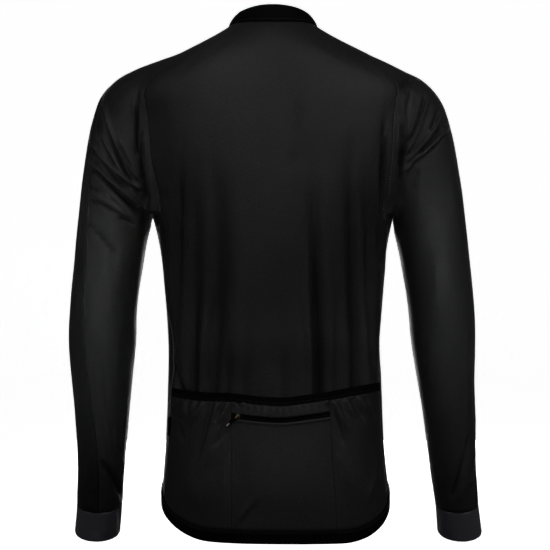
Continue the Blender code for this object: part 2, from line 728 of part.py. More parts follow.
def over_back(x, height):
    """Point on the plain back at a distance x and a height."""
    return ring_point(back_angle(x, height), height)


def side_x(side, height):
    """Distance of the pockets' outer edge, just inside the side seam."""
    angle = side * seam_angle(1 if side < 0 else 2, height)
    return ring_point(angle, height)[..., 0] - side * POCKET_EDGE


def inner_x(side, height):
    """Distance of the upright seams between the pockets."""
    lean = smoothstep(height, BACK_HEM, -500.0)
    right = POCKET_SEAM_RIGHT_FOOT + (POCKET_SEAM_RIGHT_TOP - POCKET_SEAM_RIGHT_FOOT) * lean
    return np.where(side < 0, POCKET_SEAM_LEFT, right)


def pocket_foot(x):
    """Height of the pockets' foot, on the hem band's upper edge."""
    return hem_height(back_angle(x, -640.0)) + HEM_BAND + SEAM_GAP


def pocket_wave(across, below, gathers, fade):
    """Gathers under a gathered edge, deepest at the edge and gone a little way down."""
    wave = 0.5 - 0.5 * np.cos(2 * np.pi * gathers * across)
    return GATHER_RISE * wave * np.exp(-((below / fade) ** 2))


def pocket_grid(shares, edges, top, foot, columns, gathers, fade=GATHER_FADE):
    """Pocket cloth over the back: its columns run between two upright edges and its rows from foot to top."""
    left, right = edges
    across = np.linspace(0.0, 1.0, columns + 1)
    shares = np.array(shares)[:, None]
    rows = []
    for share in shares[:, 0]:
        height = np.full(across.shape, -560.0)
        for _ in range(3):
            x = left(height) + (right(height) - left(height)) * across
            height = foot(x) + (top(x) - foot(x)) * share
        rows.append((x, height))
    x, height = (np.array(part) for part in zip(*rows))
    points = over_back(x, height)
    normals = normals_of(over_back, x, height, 1.0, 1.0)
    below = top(x) - height
    full = POCKET_FULLNESS * np.sin(np.pi * shares) * np.sin(np.pi * across)
    tuck = 4 * across * (1 - across)
    rise = np.maximum(fold_rise(x, height, POCKET_FOLDS), 0.0) * np.clip(tuck * 4, 0, 1)
    ease = smoothstep(shares, 0.0, 0.12) * (1 - smoothstep(shares, 0.9, 1.0))
    rise = rise * ease + full + pocket_wave(across, below, gathers, fade)
    return points + normals * rise[..., None], normals


def stepped_cloth(name, fine, fine_normals, coarse, coarse_normals, ratio, finish, lift):
    """Cloth whose gathered head has a grid finer than the rest, joined by fans of triangles."""
    fine_count, coarse_count = fine[..., 0].size, coarse[..., 0].size
    total = fine_count + coarse_count
    fine_rows, fine_columns = fine.shape[:2]
    coarse_rows, coarse_columns = coarse.shape[:2]
    faces = strips(coarse_rows, coarse_columns, False) + strips(fine_rows, fine_columns, False, coarse_count)
    low, high = (coarse_rows - 1) * coarse_columns, coarse_count
    for cell in range(coarse_columns - 1):
        a, b = low + cell, low + cell + 1
        half = ratio // 2
        for k in range(ratio):
            upper = high + cell * ratio + k
            faces.append((a if k < half else b, upper + 1, upper))
        faces.append((a, b, high + cell * ratio + half))
    points = np.concatenate([coarse.reshape(-1, 3), fine.reshape(-1, 3)])
    facing = np.concatenate([coarse_normals.reshape(-1, 3), fine_normals.reshape(-1, 3)])
    outer, inner = points + facing * lift, points + facing * (lift - LIGHT_WALL)
    faces += [tuple(n + total for n in face[::-1]) for face in faces]
    rings = np.arange(coarse_count).reshape(coarse_rows, coarse_columns)
    upper = coarse_count + np.arange(fine_count).reshape(fine_rows, fine_columns)
    right_edge, left_edge = np.append(rings[:, -1], upper[:, -1]), np.append(rings[:, 0], upper[:, 0])
    rim = np.concatenate([rings[0], right_edge[1:], upper[-1, -2::-1], left_edge[-2::-1]])
    flat = np.concatenate([outer, inner])
    faces += rim_faces(flat, rim, total)
    return add_mesh(name, flat, faces, finish)


def make_pocket(name, edges, top, foot):
    """One pocket face. A gathered one has a finer grid along its head."""
    gathers = GATHERS[name]
    lift = POCKET_CLEAR + LIGHT_WALL
    if not gathers:
        points, normals = pocket_grid(np.linspace(0.0, 1.0, 8), edges, top, foot, PLAIN_COLUMNS, 0)
        return cloth(name, points, normals, material("cloth", CLOTH), wall=LIGHT_WALL, lift=lift)
    fine_shares = 1.0 - GATHER_ROWS / POCKET_DEPTH
    coarse_shares = np.linspace(0.0, 1.0 - COARSE_TOP / POCKET_DEPTH, 6)
    fine, fine_normals = pocket_grid(fine_shares, edges, top, foot, gathers * WAVE_COLUMNS, gathers)
    coarse, coarse_normals = pocket_grid(coarse_shares, edges, top, foot, gathers, gathers)
    return stepped_cloth(name, fine, fine_normals, coarse, coarse_normals, WAVE_COLUMNS, material("cloth", CLOTH), lift)


def strip_over_back(name, edges, top, foot, columns, shares, finish, wall, lift, gathers=0):
    """Narrow strip of the pockets' layer."""
    points, normals = pocket_grid(shares, edges, top, foot, columns, gathers, STRIP_FADE)
    points -= normals * (POCKET_FULLNESS * np.sin(np.pi * np.array(shares)[:, None])
                         * np.sin(np.pi * np.linspace(0, 1, columns + 1)))[..., None]
    return cloth(name, points, normals, finish, wall=wall, lift=lift)


def offset_edge(function, side, amount):
    """Upright edge moved sideways by half a gap or a whole one."""
    return lambda height: function(side, height) + amount


def make_pockets():
    """Three pockets with their binding, the gathered strip over the pocket zip, and its tape."""
    half = SEAM_GAP / 2
    outer_left, outer_right = offset_edge(side_x, -1, 0.0), offset_edge(side_x, 1, 0.0)
    under_binding = lambda x: pocket_top(x) - BINDING - half
    strip_foot = lambda x: pocket_top(x) - BINDING - STRIP
    zip_foot = lambda x: strip_foot(x) - ZIP_TAPE
    centre = (offset_edge(inner_x, -1, half), offset_edge(inner_x, 1, -half))
    make_pocket("pocket_left", (outer_left, offset_edge(inner_x, -1, -half)), under_binding, pocket_foot)
    make_pocket("pocket_right", (offset_edge(inner_x, 1, half), outer_right), under_binding, pocket_foot)
    make_pocket("pocket_centre", centre, lambda x: zip_foot(x) - half, pocket_foot)
    lift = POCKET_CLEAR + LIGHT_WALL
    gathers = GATHERS["pocket_strip"]
    strip_over_back("pocket_strip", centre, under_binding, lambda x: strip_foot(x) + half, gathers * WAVE_COLUMNS,
                    [0.0, 0.55, 1.0], material("cloth", CLOTH), LIGHT_WALL, lift, gathers)
    strip_over_back("pocket_zip_tape", centre, lambda x: strip_foot(x) - half, lambda x: zip_foot(x) + half,
                    16, [0.0, 1.0], material("trim", TRIM, 0.5), LIGHT_WALL, lift)
    strip_over_back("pocket_band", (outer_left, outer_right), pocket_top, lambda x: pocket_top(x) - BINDING + half,
                    32, [0.0, 1.0], material("trim", TRIM, 0.7), BINDING_WALL, POCKET_CLEAR + BINDING_WALL + 0.4)


def make_piping(side):
    """Cord of piping on the side seam behind, from the hem band to the armpit."""
    column = 1 if side < 0 else 2
    level = np.linspace(LOW_LEVELS[0] + 0.012, level_of(ARMPIT) - 0.02, 22)
    angle = side * seam_angle(column, row_height(90.0, level))
    points, normals = body(angle, level), body_normals(angle, level)
    along = unit(np.gradient(points, axis=0))
    across = np.cross(along, normals)
    turn = np.radians(np.arange(0, 360, 360 / PIPING_SIDES))[None, :, None]
    middle = points + normals * (PIPING_RADIUS + SEAM_GAP)
    tube = middle[:, None] + PIPING_RADIUS * (np.cos(turn) * normals[:, None] + np.sin(turn) * across[:, None])
    faces = strips(*tube.shape[:2], True)
    last = (len(level) - 1) * PIPING_SIDES
    faces += [tuple(range(PIPING_SIDES))[::-1], tuple(range(last, last + PIPING_SIDES))]
    add_mesh(f"piping_{'left' if side < 0 else 'right'}", tube, faces, material("piping", GREY, 0.5))


def make_side_tab():
    """Small folded tab, sewn in the left side seam and lying on the side panel."""
    height = np.linspace(TAB_FOOT, TAB_TOP, 4)[:, None]
    angle = -(seam_angle(1, height) + np.linspace(TAB_OUT * 0.6, 0.9, 3))
    points = ring_point(angle, height + 0 * angle)
    normals = normals_of(ring_point, angle, height + 0 * angle, 0.5, 1.0)
    cloth("side_tab", points, normals, material("trim", TRIM, 0.7), wall=TAB_WALL, lift=TAB_LIFT)


def framed(points, frame, origin):
    """Points of a small part's own frame placed on the garment."""
    return np.asarray(points).reshape(-1, 3) @ frame + origin


def prism(name, outline, x_ends, frame, origin, finish):
    """Solid with one outline of y and z at two places along x, in a small part's frame."""
    count = len(outline)
    points = [(x, y, z) for x in x_ends for y, z in outline]
    faces = [tuple(range(count)), tuple(range(2 * count - 1, count - 1, -1))]
    faces += [(i, i + count, (i + 1) % count + count, (i + 1) % count) for i in range(count)]
    return add_mesh(name, framed(points, frame, origin), faces, finish)


def make_slider(name, frame, origin, finish):
    """Slider: a bevelled block, and over it a bail that the pull hangs in."""
    half_width, half_length = SLIDER_WIDTH / 2, SLIDER_LENGTH / 2
    outline = [(-half_width, -0.56 * half_length), (-0.6 * half_width, -half_length),
               (0.6 * half_width, -half_length), (half_width, -0.56 * half_length),
               (half_width, 0.6 * half_length), (0.72 * half_width, half_length),
               (-0.72 * half_width, half_length), (-half_width, 0.6 * half_length)]
    count = len(outline)
    points = [(x, y, z) for y in (0.0, SLIDER_THICK) for x, z in outline]
    faces = [tuple(range(count)), tuple(range(2 * count - 1, count - 1, -1))]
    faces += [(i, i + count, (i + 1) % count + count, (i + 1) % count) for i in range(count)]
    block = add_mesh(name, framed(points, frame, origin), faces, finish)

    foot, top = SLIDER_THICK - BAIL_SUNK, SLIDER_THICK + BAIL_RISE - BAIL_SUNK
    half, bar = BAIL_LENGTH / 2, BAIL_BAR
    arch_outline = [(foot, -half), (foot, half), (top, half), (top + bar, half - bar), (top + bar, bar - half),
                    (top, -half)]
    hole_foot, hole_top = SLIDER_THICK - BAIL_SUNK / 2, top + BAIL_SUNK
    hole_outline = [(hole_foot, bar - half), (hole_foot, half - bar), (hole_top, half - bar), (hole_top, bar - half)]
    arch = prism(f"{name}_arch", arch_outline, (-bar / 2, bar / 2), frame, origin, finish)
    hole = prism(f"{name}_cut", hole_outline, (-bar, bar), frame, origin, finish)
    for tool, operation, target in ((hole, "DIFFERENCE", arch), (arch, "UNION", block)):
        join = target.modifiers.new(operation.lower(), "BOOLEAN")
        join.object, join.operation, join.solver = tool, operation, "EXACT"
        tool.hide_render = True
        tool.display_type = "WIRE"


def make_pull(name, frame, origin, length, tip, finish):
    """Pull: a pin under the bail, a rail on each side of it, and a tab that narrows to its tip."""
    half, half_tip = PULL_WIDTH / 2, tip / 2
    head, waist, foot = PIN_HEIGHT + PIN_HALF, PIN_HEIGHT - length * 0.6, PIN_HEIGHT - length
    outline = [(-half, head), (half, head), (half, waist), (half_tip, foot), (-half_tip, foot), (-half, waist)]
    eye_top, eye_foot = PIN_HEIGHT - PIN_HALF, PIN_HEIGHT - BAIL_LENGTH
    inside = half - RAIL
    eye = [(-inside, eye_top), (inside, eye_top), (inside, eye_foot), (-inside, eye_foot)]
    rings = outline + eye
    count = len(rings)
    points = [(x, y, z) for y in (PIN[1] - PIN_HALF, PIN[1] + PIN_HALF) for x, z in rings]
    front = [(0, 1, 7, 6), (1, 2, 8, 7), (2, 5, 9, 8), (5, 0, 6, 9), (2, 3, 4, 5)]
    faces = [*front, *[tuple(n + count for n in face[::-1]) for face in front]]
    faces += [(a, b, b + count, a + count) for a, b in ((0, 1), (1, 2), (2, 3), (3, 4), (4, 5), (5, 0))]
    faces += [(b, a, a + count, b + count) for a, b in ((6, 7), (7, 8), (8, 9), (9, 6))]
    hinge = bpy.data.objects.new(f"{name}_hinge", None)
    bpy.context.scene.collection.objects.link(hinge)
    hinge.location = (framed([PIN], frame, origin)[0] * MM).tolist()
    bpy.context.view_layer.update()
    return add_mesh(name, framed(points, frame, origin), faces, finish, hinge)


def front_zip_frame():
    """Frame of the front slider: x to the wearer's left, y out of the cloth, z up the collar."""
    angle, part = np.array([180.0]), np.array([FRONT_SLIDER_PART])
    origin = collar_point(angle, part)[0]
    up = unit(collar_point(angle, part + 0.05)[0] - collar_point(angle, part - 0.05)[0])
    out = unit(np.cross(up, np.array([-1.0, 0.0, 0.0])))
    out = out if out[1] > 0 else -out
    lift = (CHAIN_THICKNESS - WALL) / 2 + SEAM_GAP
    return np.array([np.cross(out, up), out, up]), origin + out * lift


def pocket_zip_frame():
    """Frame of the pocket slider. Its z points up and to the right, opposite to how its pull lies."""
    x = np.array([POCKET_SLIDER_X])
    height = pocket_top(x) - BINDING - STRIP - ZIP_TAPE / 2
    origin = over_back(x, height)[0]
    out = normals_of(over_back, x, height, 1.0, 1.0)[0]
    level = unit(np.cross(np.array([0.0, 0.0, 1.0]), out)) * -1.0
    rise = unit(np.cross(level, out))
    rise = rise if rise[2] > 0 else -rise
    lean = np.radians(POCKET_PULL_LEAN)
    away = np.array([1.0, 0.0, 0.0])
    level = level if level @ away > 0 else -level
    up = level * np.cos(lean) + rise * np.sin(lean)
    lift = POCKET_CLEAR + LIGHT_WALL + SEAM_GAP + 0.2
    return np.array([np.cross(out, up), out, up]) * POCKET_ZIP_SCALE, origin + out * lift


def make_zip_parts():
    """Sliders and pulls of both zips."""
    for word, (frame, origin), length, tip in (
        ("front_zip", front_zip_frame(), FRONT_PULL_LENGTH, FRONT_PULL_TIP),
        ("pocket_zip", pocket_zip_frame(), POCKET_PULL_LENGTH, POCKET_PULL_TIP),
    ):
        make_slider(f"{word}_slider", frame, origin, material("brass", BRASS, 0.35, 1.0))
        make_pull(f"{word}_pull", frame, origin, length, tip, material("trim", TRIM, 0.5))


def main():
    """Remove what the file holds, and build every piece."""
    for item in list(bpy.data.objects):
        bpy.data.objects.remove(item, do_unlink=True)
    armholes = {side: make_sleeve(side) for side in (-1, 1)}
    make_back(armholes)
    for side in (-1, 1):
        make_side(side, armholes[side])
        make_front(side, armholes[side])
        make_piping(side)
    make_hem_band()
    make_collar()
    make_pockets()
    make_side_tab()
    make_front_zip()
    make_zip_parts()


main()
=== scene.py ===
"""Finished look of a long-sleeved cycling jacket in its worn shape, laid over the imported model.

Lengths are in millimetres while a shape is worked out, and `add_mesh` turns them into metres. Angles are in
degrees round the body, 0 at the middle of the back and 180 at the front zip, positive on the wearer's right.
A surface is a function of two parameters, worked out as a whole grid of points at once.
"""

import logging
from dataclasses import dataclass, field, replace
from enum import Enum
from typing import Callable, Optional, Sequence

import bpy
import numpy as np
from mathutils import Matrix

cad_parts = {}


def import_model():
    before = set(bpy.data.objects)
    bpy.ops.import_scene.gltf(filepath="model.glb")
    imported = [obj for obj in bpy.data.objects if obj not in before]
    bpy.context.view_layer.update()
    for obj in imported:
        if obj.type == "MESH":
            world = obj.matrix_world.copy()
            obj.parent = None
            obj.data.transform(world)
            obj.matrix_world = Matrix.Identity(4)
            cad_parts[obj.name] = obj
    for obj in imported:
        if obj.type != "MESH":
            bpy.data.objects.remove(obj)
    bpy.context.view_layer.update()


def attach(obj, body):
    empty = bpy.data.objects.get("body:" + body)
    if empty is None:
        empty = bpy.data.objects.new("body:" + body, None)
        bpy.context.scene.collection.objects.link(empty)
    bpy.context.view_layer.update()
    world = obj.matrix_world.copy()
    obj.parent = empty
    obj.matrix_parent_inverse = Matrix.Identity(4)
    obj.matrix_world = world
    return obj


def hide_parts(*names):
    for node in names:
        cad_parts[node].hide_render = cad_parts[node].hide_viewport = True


LOG = logging.getLogger("jacket")
Grid = np.ndarray
Piece = bpy.types.Object
Socket = bpy.types.NodeSocket
Surface = Callable[[Grid, Grid], Grid]
Curve = Callable[[Grid], Grid]
Colour = tuple[float, float, float]
MM = 0.001

# Cloth walls, the clear gap that the model leaves at a seam, and the narrower ones of the finished cloth
WALL, LIGHT_WALL = 1.1, 1.0
SEAM_GAP, GAP, CLOSE_GAP = 0.3, 0.2, 0.06

# Painted shade in the folds' hollows: passes of smoothing that find a hollow, the depth at which the painted
# shade is full, and the colour of the painted shade
HOLLOW_PASSES, HOLLOW_DEPTH = 12, 2.0
PAINTED_CREASE_SHADE = (0.0012, 0.0012, 0.0013)

# Heights of the body, of the hem band, and of what is tucked under a band
BACK_HEM, FRONT_HEM = -699.0, -600.0
HEM_BAND, TUCK = 18.5, 1.8
SHOULDER_BASE, ARMPIT = -112.0, -262.0
HEM_TURN_END, HEM_TURN_START = 30.0, 150.0
HEM_TILT = 1.5
HEM_LEFT_ANGLE, HEM_LEFT_SPREAD, HEM_LEFT_RISE = -58.0, 24.0, 4.0

# Neck and collar
NECK_HALF_WIDTH, NECK_BACK, NECK_FRONT = 62.0, 58.0, 68.0
NECK_HEIGHTS = (0.5, -8.0, -58.0)
COLLAR_HALF_WIDTH, COLLAR_BACK, COLLAR_FRONT = 55.5, 50.0, 60.0
COLLAR_HEIGHTS = (25.5, 4.0, -30.0)
COLLAR_BELLY = 1.5
COLLAR_START = -0.05

# Zips and pockets
CHAIN_HALF_WIDTH = 3.0
BINDING, BINDING_WALL = 12.0, 1.5
STRIP, ZIP_TAPE = 15.0, 6.6
POCKET_SEAM_LEFT, POCKET_SEAM_RIGHT_TOP, POCKET_SEAM_RIGHT_FOOT = -55.0, 75.0, 85.0
POCKET_EDGE, POCKET_CLEAR, POCKET_FULLNESS = 3.2, 0.8, 3.6
POCKET_WALL = 1.4
POCKET_LIFT = POCKET_CLEAR + POCKET_WALL
GATHER_RISE, GATHER_FADE, STRIP_FADE = 2.2, 17.0, 9.0

# Columns: height, middle, half width, depth behind and before the middle, squareness of the ring
BODY = np.array([
    (-112, 0, 200, 104, 100, 3), (-160, 0, 193, 113, 110, 2.95), (-210, 0, 181, 117, 115, 2.8),
    (-262, 0, 165, 116, 116, 2.5), (-300, 0.5, 156.5, 112, 112, 2.4), (-340, 0.8, 151.5, 106, 108, 2.35),
    (-380, 1, 148, 101, 104, 2.35), (-440, 1.4, 144.8, 100, 102, 2.35),
    (-500, 2.4, 146.8, 105, 103, 2.35), (-583, 2.7, 150.2, 114, 107, 2.35),
    (-640, 3.4, 155, 117, 109, 2.35), (-720, 3.4, 156.5, 115, 108, 2.35),
])[::-1]

# Columns: height, angle of the side seam behind on the left and on the right, and of the one in front
SIDE_SEAMS = np.array([
    (-262, 64, 65, 114), (-280, 70, 71, 110), (-304, 75, 77, 107), (-440, 74, 79, 105),
    (-515, 71, 77, 105), (-610, 74, 78, 105), (-720, 75, 78, 105),
])[::-1]

# Columns: level on the body, and the armhole seam's distance from the middle: behind left and right, in front
ARMHOLE = np.array([
    (0.8, 159, 157.5, 152), (0.862, 166.7, 161.3, 158), (0.938, 170.8, 163.3, 161), (1, 174.5, 166, 162),
    (1.11, 174, 168, 160), (1.26, 166.5, 163, 153), (1.43, 147, 149, 141), (1.58, 127.5, 131, 126),
])
ARMHOLE_TOP = 1.700

# Columns: x and z of the left sleeve's outer and inner edges, then of the right one's, each x from the middle
# line, and last the depth, half depth and forward swing of both
SLEEVES = np.array([
    (119, -35, 163, -262, 119, -35, 163, -262, 0, 60, 0),
    (153, -46, 164, -264, 150, -47, 164, -264, 0, 62, 0),
    (190, -60, 165, -266, 180, -61, 164, -266, 0, 64, 0),
    (218, -76, 166, -268, 207, -75, 164, -268, 0, 64, 0),
    (238, -101, 167, -272, 230, -102, 165, -272, 0, 64, 0),
    (250, -138, 168, -277, 243, -138, 166, -277, 0, 63, 0),
    (258, -184, 170, -284, 253, -184, 167, -284, 0, 61, 0),
    (265, -240, 173, -297, 261, -240, 170, -297, -1, 59, 0),
    (272, -310, 178, -326, 269, -310, 176, -326, -1, 56, 1),
    (279, -385, 187, -388, 277, -385, 186, -388, 4, 52, 6),
    (282, -435, 189, -435, 279, -435, 191, -435, 13, 50, 12),
    (279, -488, 195, -488, 279, -488, 200, -488, 26, 46, 15),
    (275, -544, 201, -544, 282, -544, 210, -544, 41, 42, 16),
    (273, -601, 207, -601, 284, -601, 218, -601, 57, 38, 17),
    (276, -663, 212, -663, 289, -663, 228, -663, 75, 35, 18),
    (280, -703, 216, -704, 295, -704, 232, -703, 88, 35, 20),
])
CUFF_RING, LAST_RING = 14.0, 15.0

# Columns: ring number, and the long seam's angle from the outer edge towards the back, left and right
SLEEVE_SEAM = np.array([
    (0, 0, 2), (3, 16, 18), (5, 37, 6), (7, 49, 0), (9, 59, -4), (11, 72, 0), (13, 88, 22), (15, 96, 54),
])

# Fold tables. Columns: start x and z, end x and z, height (troughs are negative), half width, sideways bow
BACK_FOLDS = np.array([
    (-121, -175, -138, -445, -6.5, 5.8, 0), (-140, -415, -116, -530, -5.6, 5.4, -6.4),
    (-106, -190, -116, -540, -4.2, 9.2, 5.5), (-105, -369, -116, -540, -3.6, 6, 1.5),
    (-79, -170, -89, -540, -4.8, 13, 9), (-59, -422, -63, -530, -1.8, 6, 0.5),
    (-34, -376, -38, -530, -1.8, 8.4, -0.7), (13, -429, 13, -530, -1.6, 7.2, 0),
    (8, -290, -2, -480, -1.6, 21.6, 0), (51, -185, 63, -540, -5.2, 7, 0),
    (60, -370, 64, -540, -1.2, 6, 0), (84, -362, 85, -520, -1.5, 6, -0.6),
    (100, -155, 117, -540, -7.6, 8.2, 0.6), (121, -215, 139, -460, -7.6, 6.8, 3.5),
    (151, -132, 150, -262, -7.5, 4.4, 0), (34, -80, 24, -200, -2.6, 18, 1.9),
    (142, -263, 148, -329, -2.2, 4.8, 0), (-52, -260, -46, -470, 1.6, 13.2, 0),
    (73, -205, 77, -470, 1.8, 9.6, 0),
])
BACK_CREASES = np.array([
    (-82, -360, -90, -488, -1, 4, -1), (34, -300, 44, -480, -0.9, 5, -1),
    (-150, -300, -146, -420, -1, 5, 1), (146, -380, 140, -460, -1, 4, -1),
])
BACK_FORMS = np.array([
    (-190, -438, 190, -438, 4.5, 38, 0), (-168, -90, -150, -250, -6, 26, 0),
    (166, -90, 156, -230, -3, 20, 0),
])
FRONT_FOLDS = np.array([
    (-110, -210, -122, -560, -3, 13, 3), (-58, -260, -70, -600, -2.6, 14, -3),
    (54, -230, 66, -600, -2.8, 14, 3), (108, -220, 124, -540, -3, 12, -2),
])
FRONT_CREASES = np.array([
    (-132, -180, -96, -250, 1.6, 8, 5), (130, -178, 92, -246, 1.6, 8, -5),
    (-84, -300, -92, -500, -0.9, 6, 2), (-30, -340, -36, -560, 0.8, 8, 2),
    (34, -320, 30, -540, -0.8, 8, -2), (84, -300, 96, -520, 0.9, 6, -1), (-16, -140, -60, -190, 1, 10, 4),
    (16, -150, 58, -200, 1, 10, -4),
])
SLEEVE_BACK_FOLDS = np.array([
    (-229, -110, -175, -218, 2.6, 3, -9.1), (-236, -147, -205, -203, 1.6, 4, -1.7),
    (-247, -159, -171, -229, 2.8, 3, -8.1), (-247, -187, -171, -255, 2.8, 3, -2.3),
    (-247, -234, -197, -265, 1.6, 3.6, 4.1), (-220, -234, -188, -263, 0.9, 3, 1.5),
    (-188, -112, -186, -174, 1.1, 1.8, 0.6), (-180, -114, -181, -176, 1.2, 2, 0.7),
    (-171, -149, -169, -203, 1.2, 2.4, 0), (-234, -114, -188, -220, -2.4, 2.6, -3.9),
    (-207, -164, -173, -218, -1.8, 1.8, -3.6), (-240, -139, -208, -202, -2.2, 2.6, -3.3),
    (-246, -172, -201, -225, -2.6, 2.8, -0.8), (-244, -184, -216, -215, -1.8, 2.2, -0.9),
    (-248, -198, -182, -256, -3, 3.4, 1.4), (-247, -240, -213, -257, -2, 3, 1.5),
    (-248, -222, -236, -230, -1, 2.4, -0.4), (-207, -263, -186, -274, -1.6, 3, -0.3),
    (-252, -269, -211, -314, -1.8, 4.5, -0.1), (-182, -97, -184, -178, -4, 2.6, -0.1),
    (-177, -147, -174, -236, -2.6, 2.4, -1.5), (-184, -172, -172, -246, -3, 6, 1.5),
    (-238, -596, -209, -650, -2.4, 5, 2), (-228, -582, -204, -622, 1.6, 6, 2),
    (209, -98, 173, -186, 2.6, 2.8, 5), (228, -122, 174, -191, 2.8, 2.8, 6.2),
    (238, -140, 169, -207, 3, 3, 2.3), (174, -109, 177, -160, 1.4, 2.4, 1.6),
    (169, -141, 167, -179, 1.2, 1.8, 0.7), (205, -103, 184, -164, -2.8, 2.2, 2),
    (204, -125, 186, -166, -1.4, 1.8, 0.6), (224, -120, 213, -147, -2.6, 2.4, 0.8),
    (215, -147, 180, -186, -2, 1.8, 0.6), (227, -147, 197, -179, -3, 2.6, -0.7),
    (234, -152, 182, -195, -2.2, 2.4, 3.5), (187, -94, 178, -130, -0.9, 3, -0.5),
    (196, -201, 190, -228, -1.2, 3.2, 1.1), (184, -156, 172, -198, -2.6, 2.8, -3.3),
    (173, -141, 169, -214, -3, 2.6, 0.7), (165, -143, 165, -195, -2.6, 2.4, -0.7),
    (166, -97, 190, -75, -2.6, 4, 1.7), (176, -172, 170, -244, -2.8, 6, -1.4),
    (271, -558, 247, -652, -2.2, 4.5, 3), (279, -585, 260, -655, 1.4, 5, 2),
])
SLEEVE_BACK_CREASES = np.array([
    (-272, -632, -246, -652, -2, 3, 1), (-274, -646, -250, -668, 1.6, 3, 1),
    (-270, -618, -248, -632, -1.4, 3, 0), (-226, -640, -212, -664, 1.2, 3, 0),
    (262, -640, 240, -660, 1.4, 5, -1), (284, -628, 262, -650, -1.4, 4, -1),
    (246, -616, 234, -640, -1.2, 4, -1),
])
SLEEVE_FRONT_FOLDS = np.array([
    (-246, -130, -182, -222, 3.6, 9, 7), (-250, -190, -186, -256, 3.2, 8, 6),
    (-270, -380, -200, -408, -3.2, 10, -4), (-274, -420, -200, -440, -3, 9, -3),
    (240, -124, 178, -214, 3.6, 9, -7), (248, -186, 184, -250, 3.2, 8, -6),
    (270, -378, 200, -404, -3.2, 10, 4), (274, -418, 204, -444, -3, 9, 3),
])
SLEEVE_FRONT_CREASES = np.array([
    (-262, -400, -214, -420, 1.6, 6, -3), (-266, -450, -216, -462, 1.2, 7, -2),
    (262, -398, 214, -418, 1.6, 6, 3), (266, -448, 220, -460, 1.2, 7, 2),
    (-250, -628, -222, -650, 1, 6, 1), (250, -628, 240, -650, 1, 6, -1),
])
POCKET_FOLDS = np.array([
    (-80, -511, -102, -600, -3.4, 3.6, 0), (-58, -538, -80, -575, -3.2, 3.6, 0),
    (-130, -543, -113, -571, -1.8, 4, 2), (-137, -562, -126, -603, -2.6, 3.6, -2),
    (-92, -511, -113, -552, 1.8, 4.2, 0), (-72, -511, -83, -543, 2, 3.8, 0),
    (-57, -511, -72, -543, 2.4, 3.6, 0), (-116, -510, -118, -536, 1.9, 3.2, 0),
    (-106, -511, -109, -526, 1.3, 2.6, 0), (-127, -510, -130, -523, 1.4, 3, 0),
    (-110, -512, -113, -529, -1.5, 2.4, 0), (-66, -512, -72, -531, -1.5, 2.2, 0),
    (76, -525, 96, -571, -3.8, 3.8, -1), (105, -508, 122, -542, -3.2, 3.8, -1),
    (130, -503, 143, -534, -3, 3.6, 0), (85, -510, 95, -531, -1.5, 2.2, 0),
    (121, -506, 127, -520, -1.2, 2.2, 0), (81, -510, 99, -553, 2.6, 5, -1),
    (97, -509, 107, -535, 2, 4, 0), (114, -506, 126, -530, 1.8, 3.4, 0),
    (127, -504, 135, -522, 1.3, 2.6, 0), (-54, -636, -52, -672, -1.6, 3, 0),
    (-50, -507, -44, -516, -2, 2.2, 0), (-43, -506, -36, -514, 1.6, 3.2, 0),
    (70, -506, 72, -515, 1.4, 2.2, 0),
])
POCKET_FORMS = np.array([
    (-68, -545, -84, -600, 2.4, 8, 0), (-58, -550, -62, -660, 2.2, 9, 0),
    (-104, -610, -96, -660, 1.4, 14, 0), (80, -560, 104, -640, 2.2, 10, 0),
    (146, -594, 124, -652, 1.6, 4.5, -3), (124, -540, 130, -630, -2, 9, 0),
    (-26, -636, -52, -678, 2.8, 4, 0), (-18, -640, -42, -680, -2.6, 4.5, 1),
    (20, -560, 14, -640, 1.6, 16, 3), (-24, -560, -14, -640, 1.4, 16, -3),
])
CUFF_FOLDS = np.array([
    (-214, -655, -215, -706, -1.9, 3.2, 0), (-229, -655, -231, -706, 1.6, 6.5, 0),
    (-246, -655, -248, -706, -1.3, 7, 0), (226, -655, 228, -706, -1.4, 4.5, 0),
    (240, -655, 242, -706, 1.5, 6, 0), (256, -655, 258, -706, -1, 7, 0),
])

# Columns: x, and the height of the top edge of the pockets' binding
POCKET_TOPS = np.array([
    (-136, -494.5), (-100, -498.5), (-55, -499.5), (-18, -503.5), (12, -505), (45, -501.5), (75, -497.5),
    (105, -492.5), (140, -488),
])


def smoothstep(value: Grid, start: float = 0.0, end: float = 1.0) -> Grid:
    """Rise from 0 at `start` to 1 at `end` with level ends: 3t^2 - 2t^3.

    Args:
        value: Where to read the rise.
        start: Value at which it leaves 0.
        end: Value at which it reaches 1.

    Returns:
        The rise, in the shape of `value`.
    """
    t = np.clip((value - start) / (end - start), 0.0, 1.0)
    return t * t * (3.0 - 2.0 * t)


def spline(at: Grid, knots: Grid, values: Grid) -> Grid:
    """Smooth curve through a table's rows: a cubic between rows whose slopes are those of their neighbours.

    Args:
        at: Where to read the curve. Past the table's ends it stays level.
        knots: Rising places of the rows.
        values: Value of each row.

    Returns:
        The curve at `at`.
    """
    at = np.asarray(at, float)
    slopes = np.gradient(values, knots)
    row = np.clip(np.searchsorted(knots, at) - 1, 0, len(knots) - 2)
    span = knots[row + 1] - knots[row]
    t = np.clip((at - knots[row]) / span, 0.0, 1.0)
    rise = values[row + 1] - values[row]
    bend = t * (1 - t) ** 2 * slopes[row] - t * t * (1 - t) * slopes[row + 1]
    return values[row] + t * t * (3 - 2 * t) * rise + bend * span


def unit(vectors: Grid) -> Grid:
    """Vectors made one long."""
    return vectors / np.maximum(np.linalg.norm(vectors, axis=-1, keepdims=True), 1e-9)


def along_row(start: float, end: float, count: int) -> Grid:
    """Evenly spaced numbers as one row of a grid."""
    return np.linspace(start, end, count)[None, :]


def up_column(start: float, end: float, count: int) -> Grid:
    """Evenly spaced numbers as one column of a grid."""
    return np.linspace(start, end, count)[:, None]


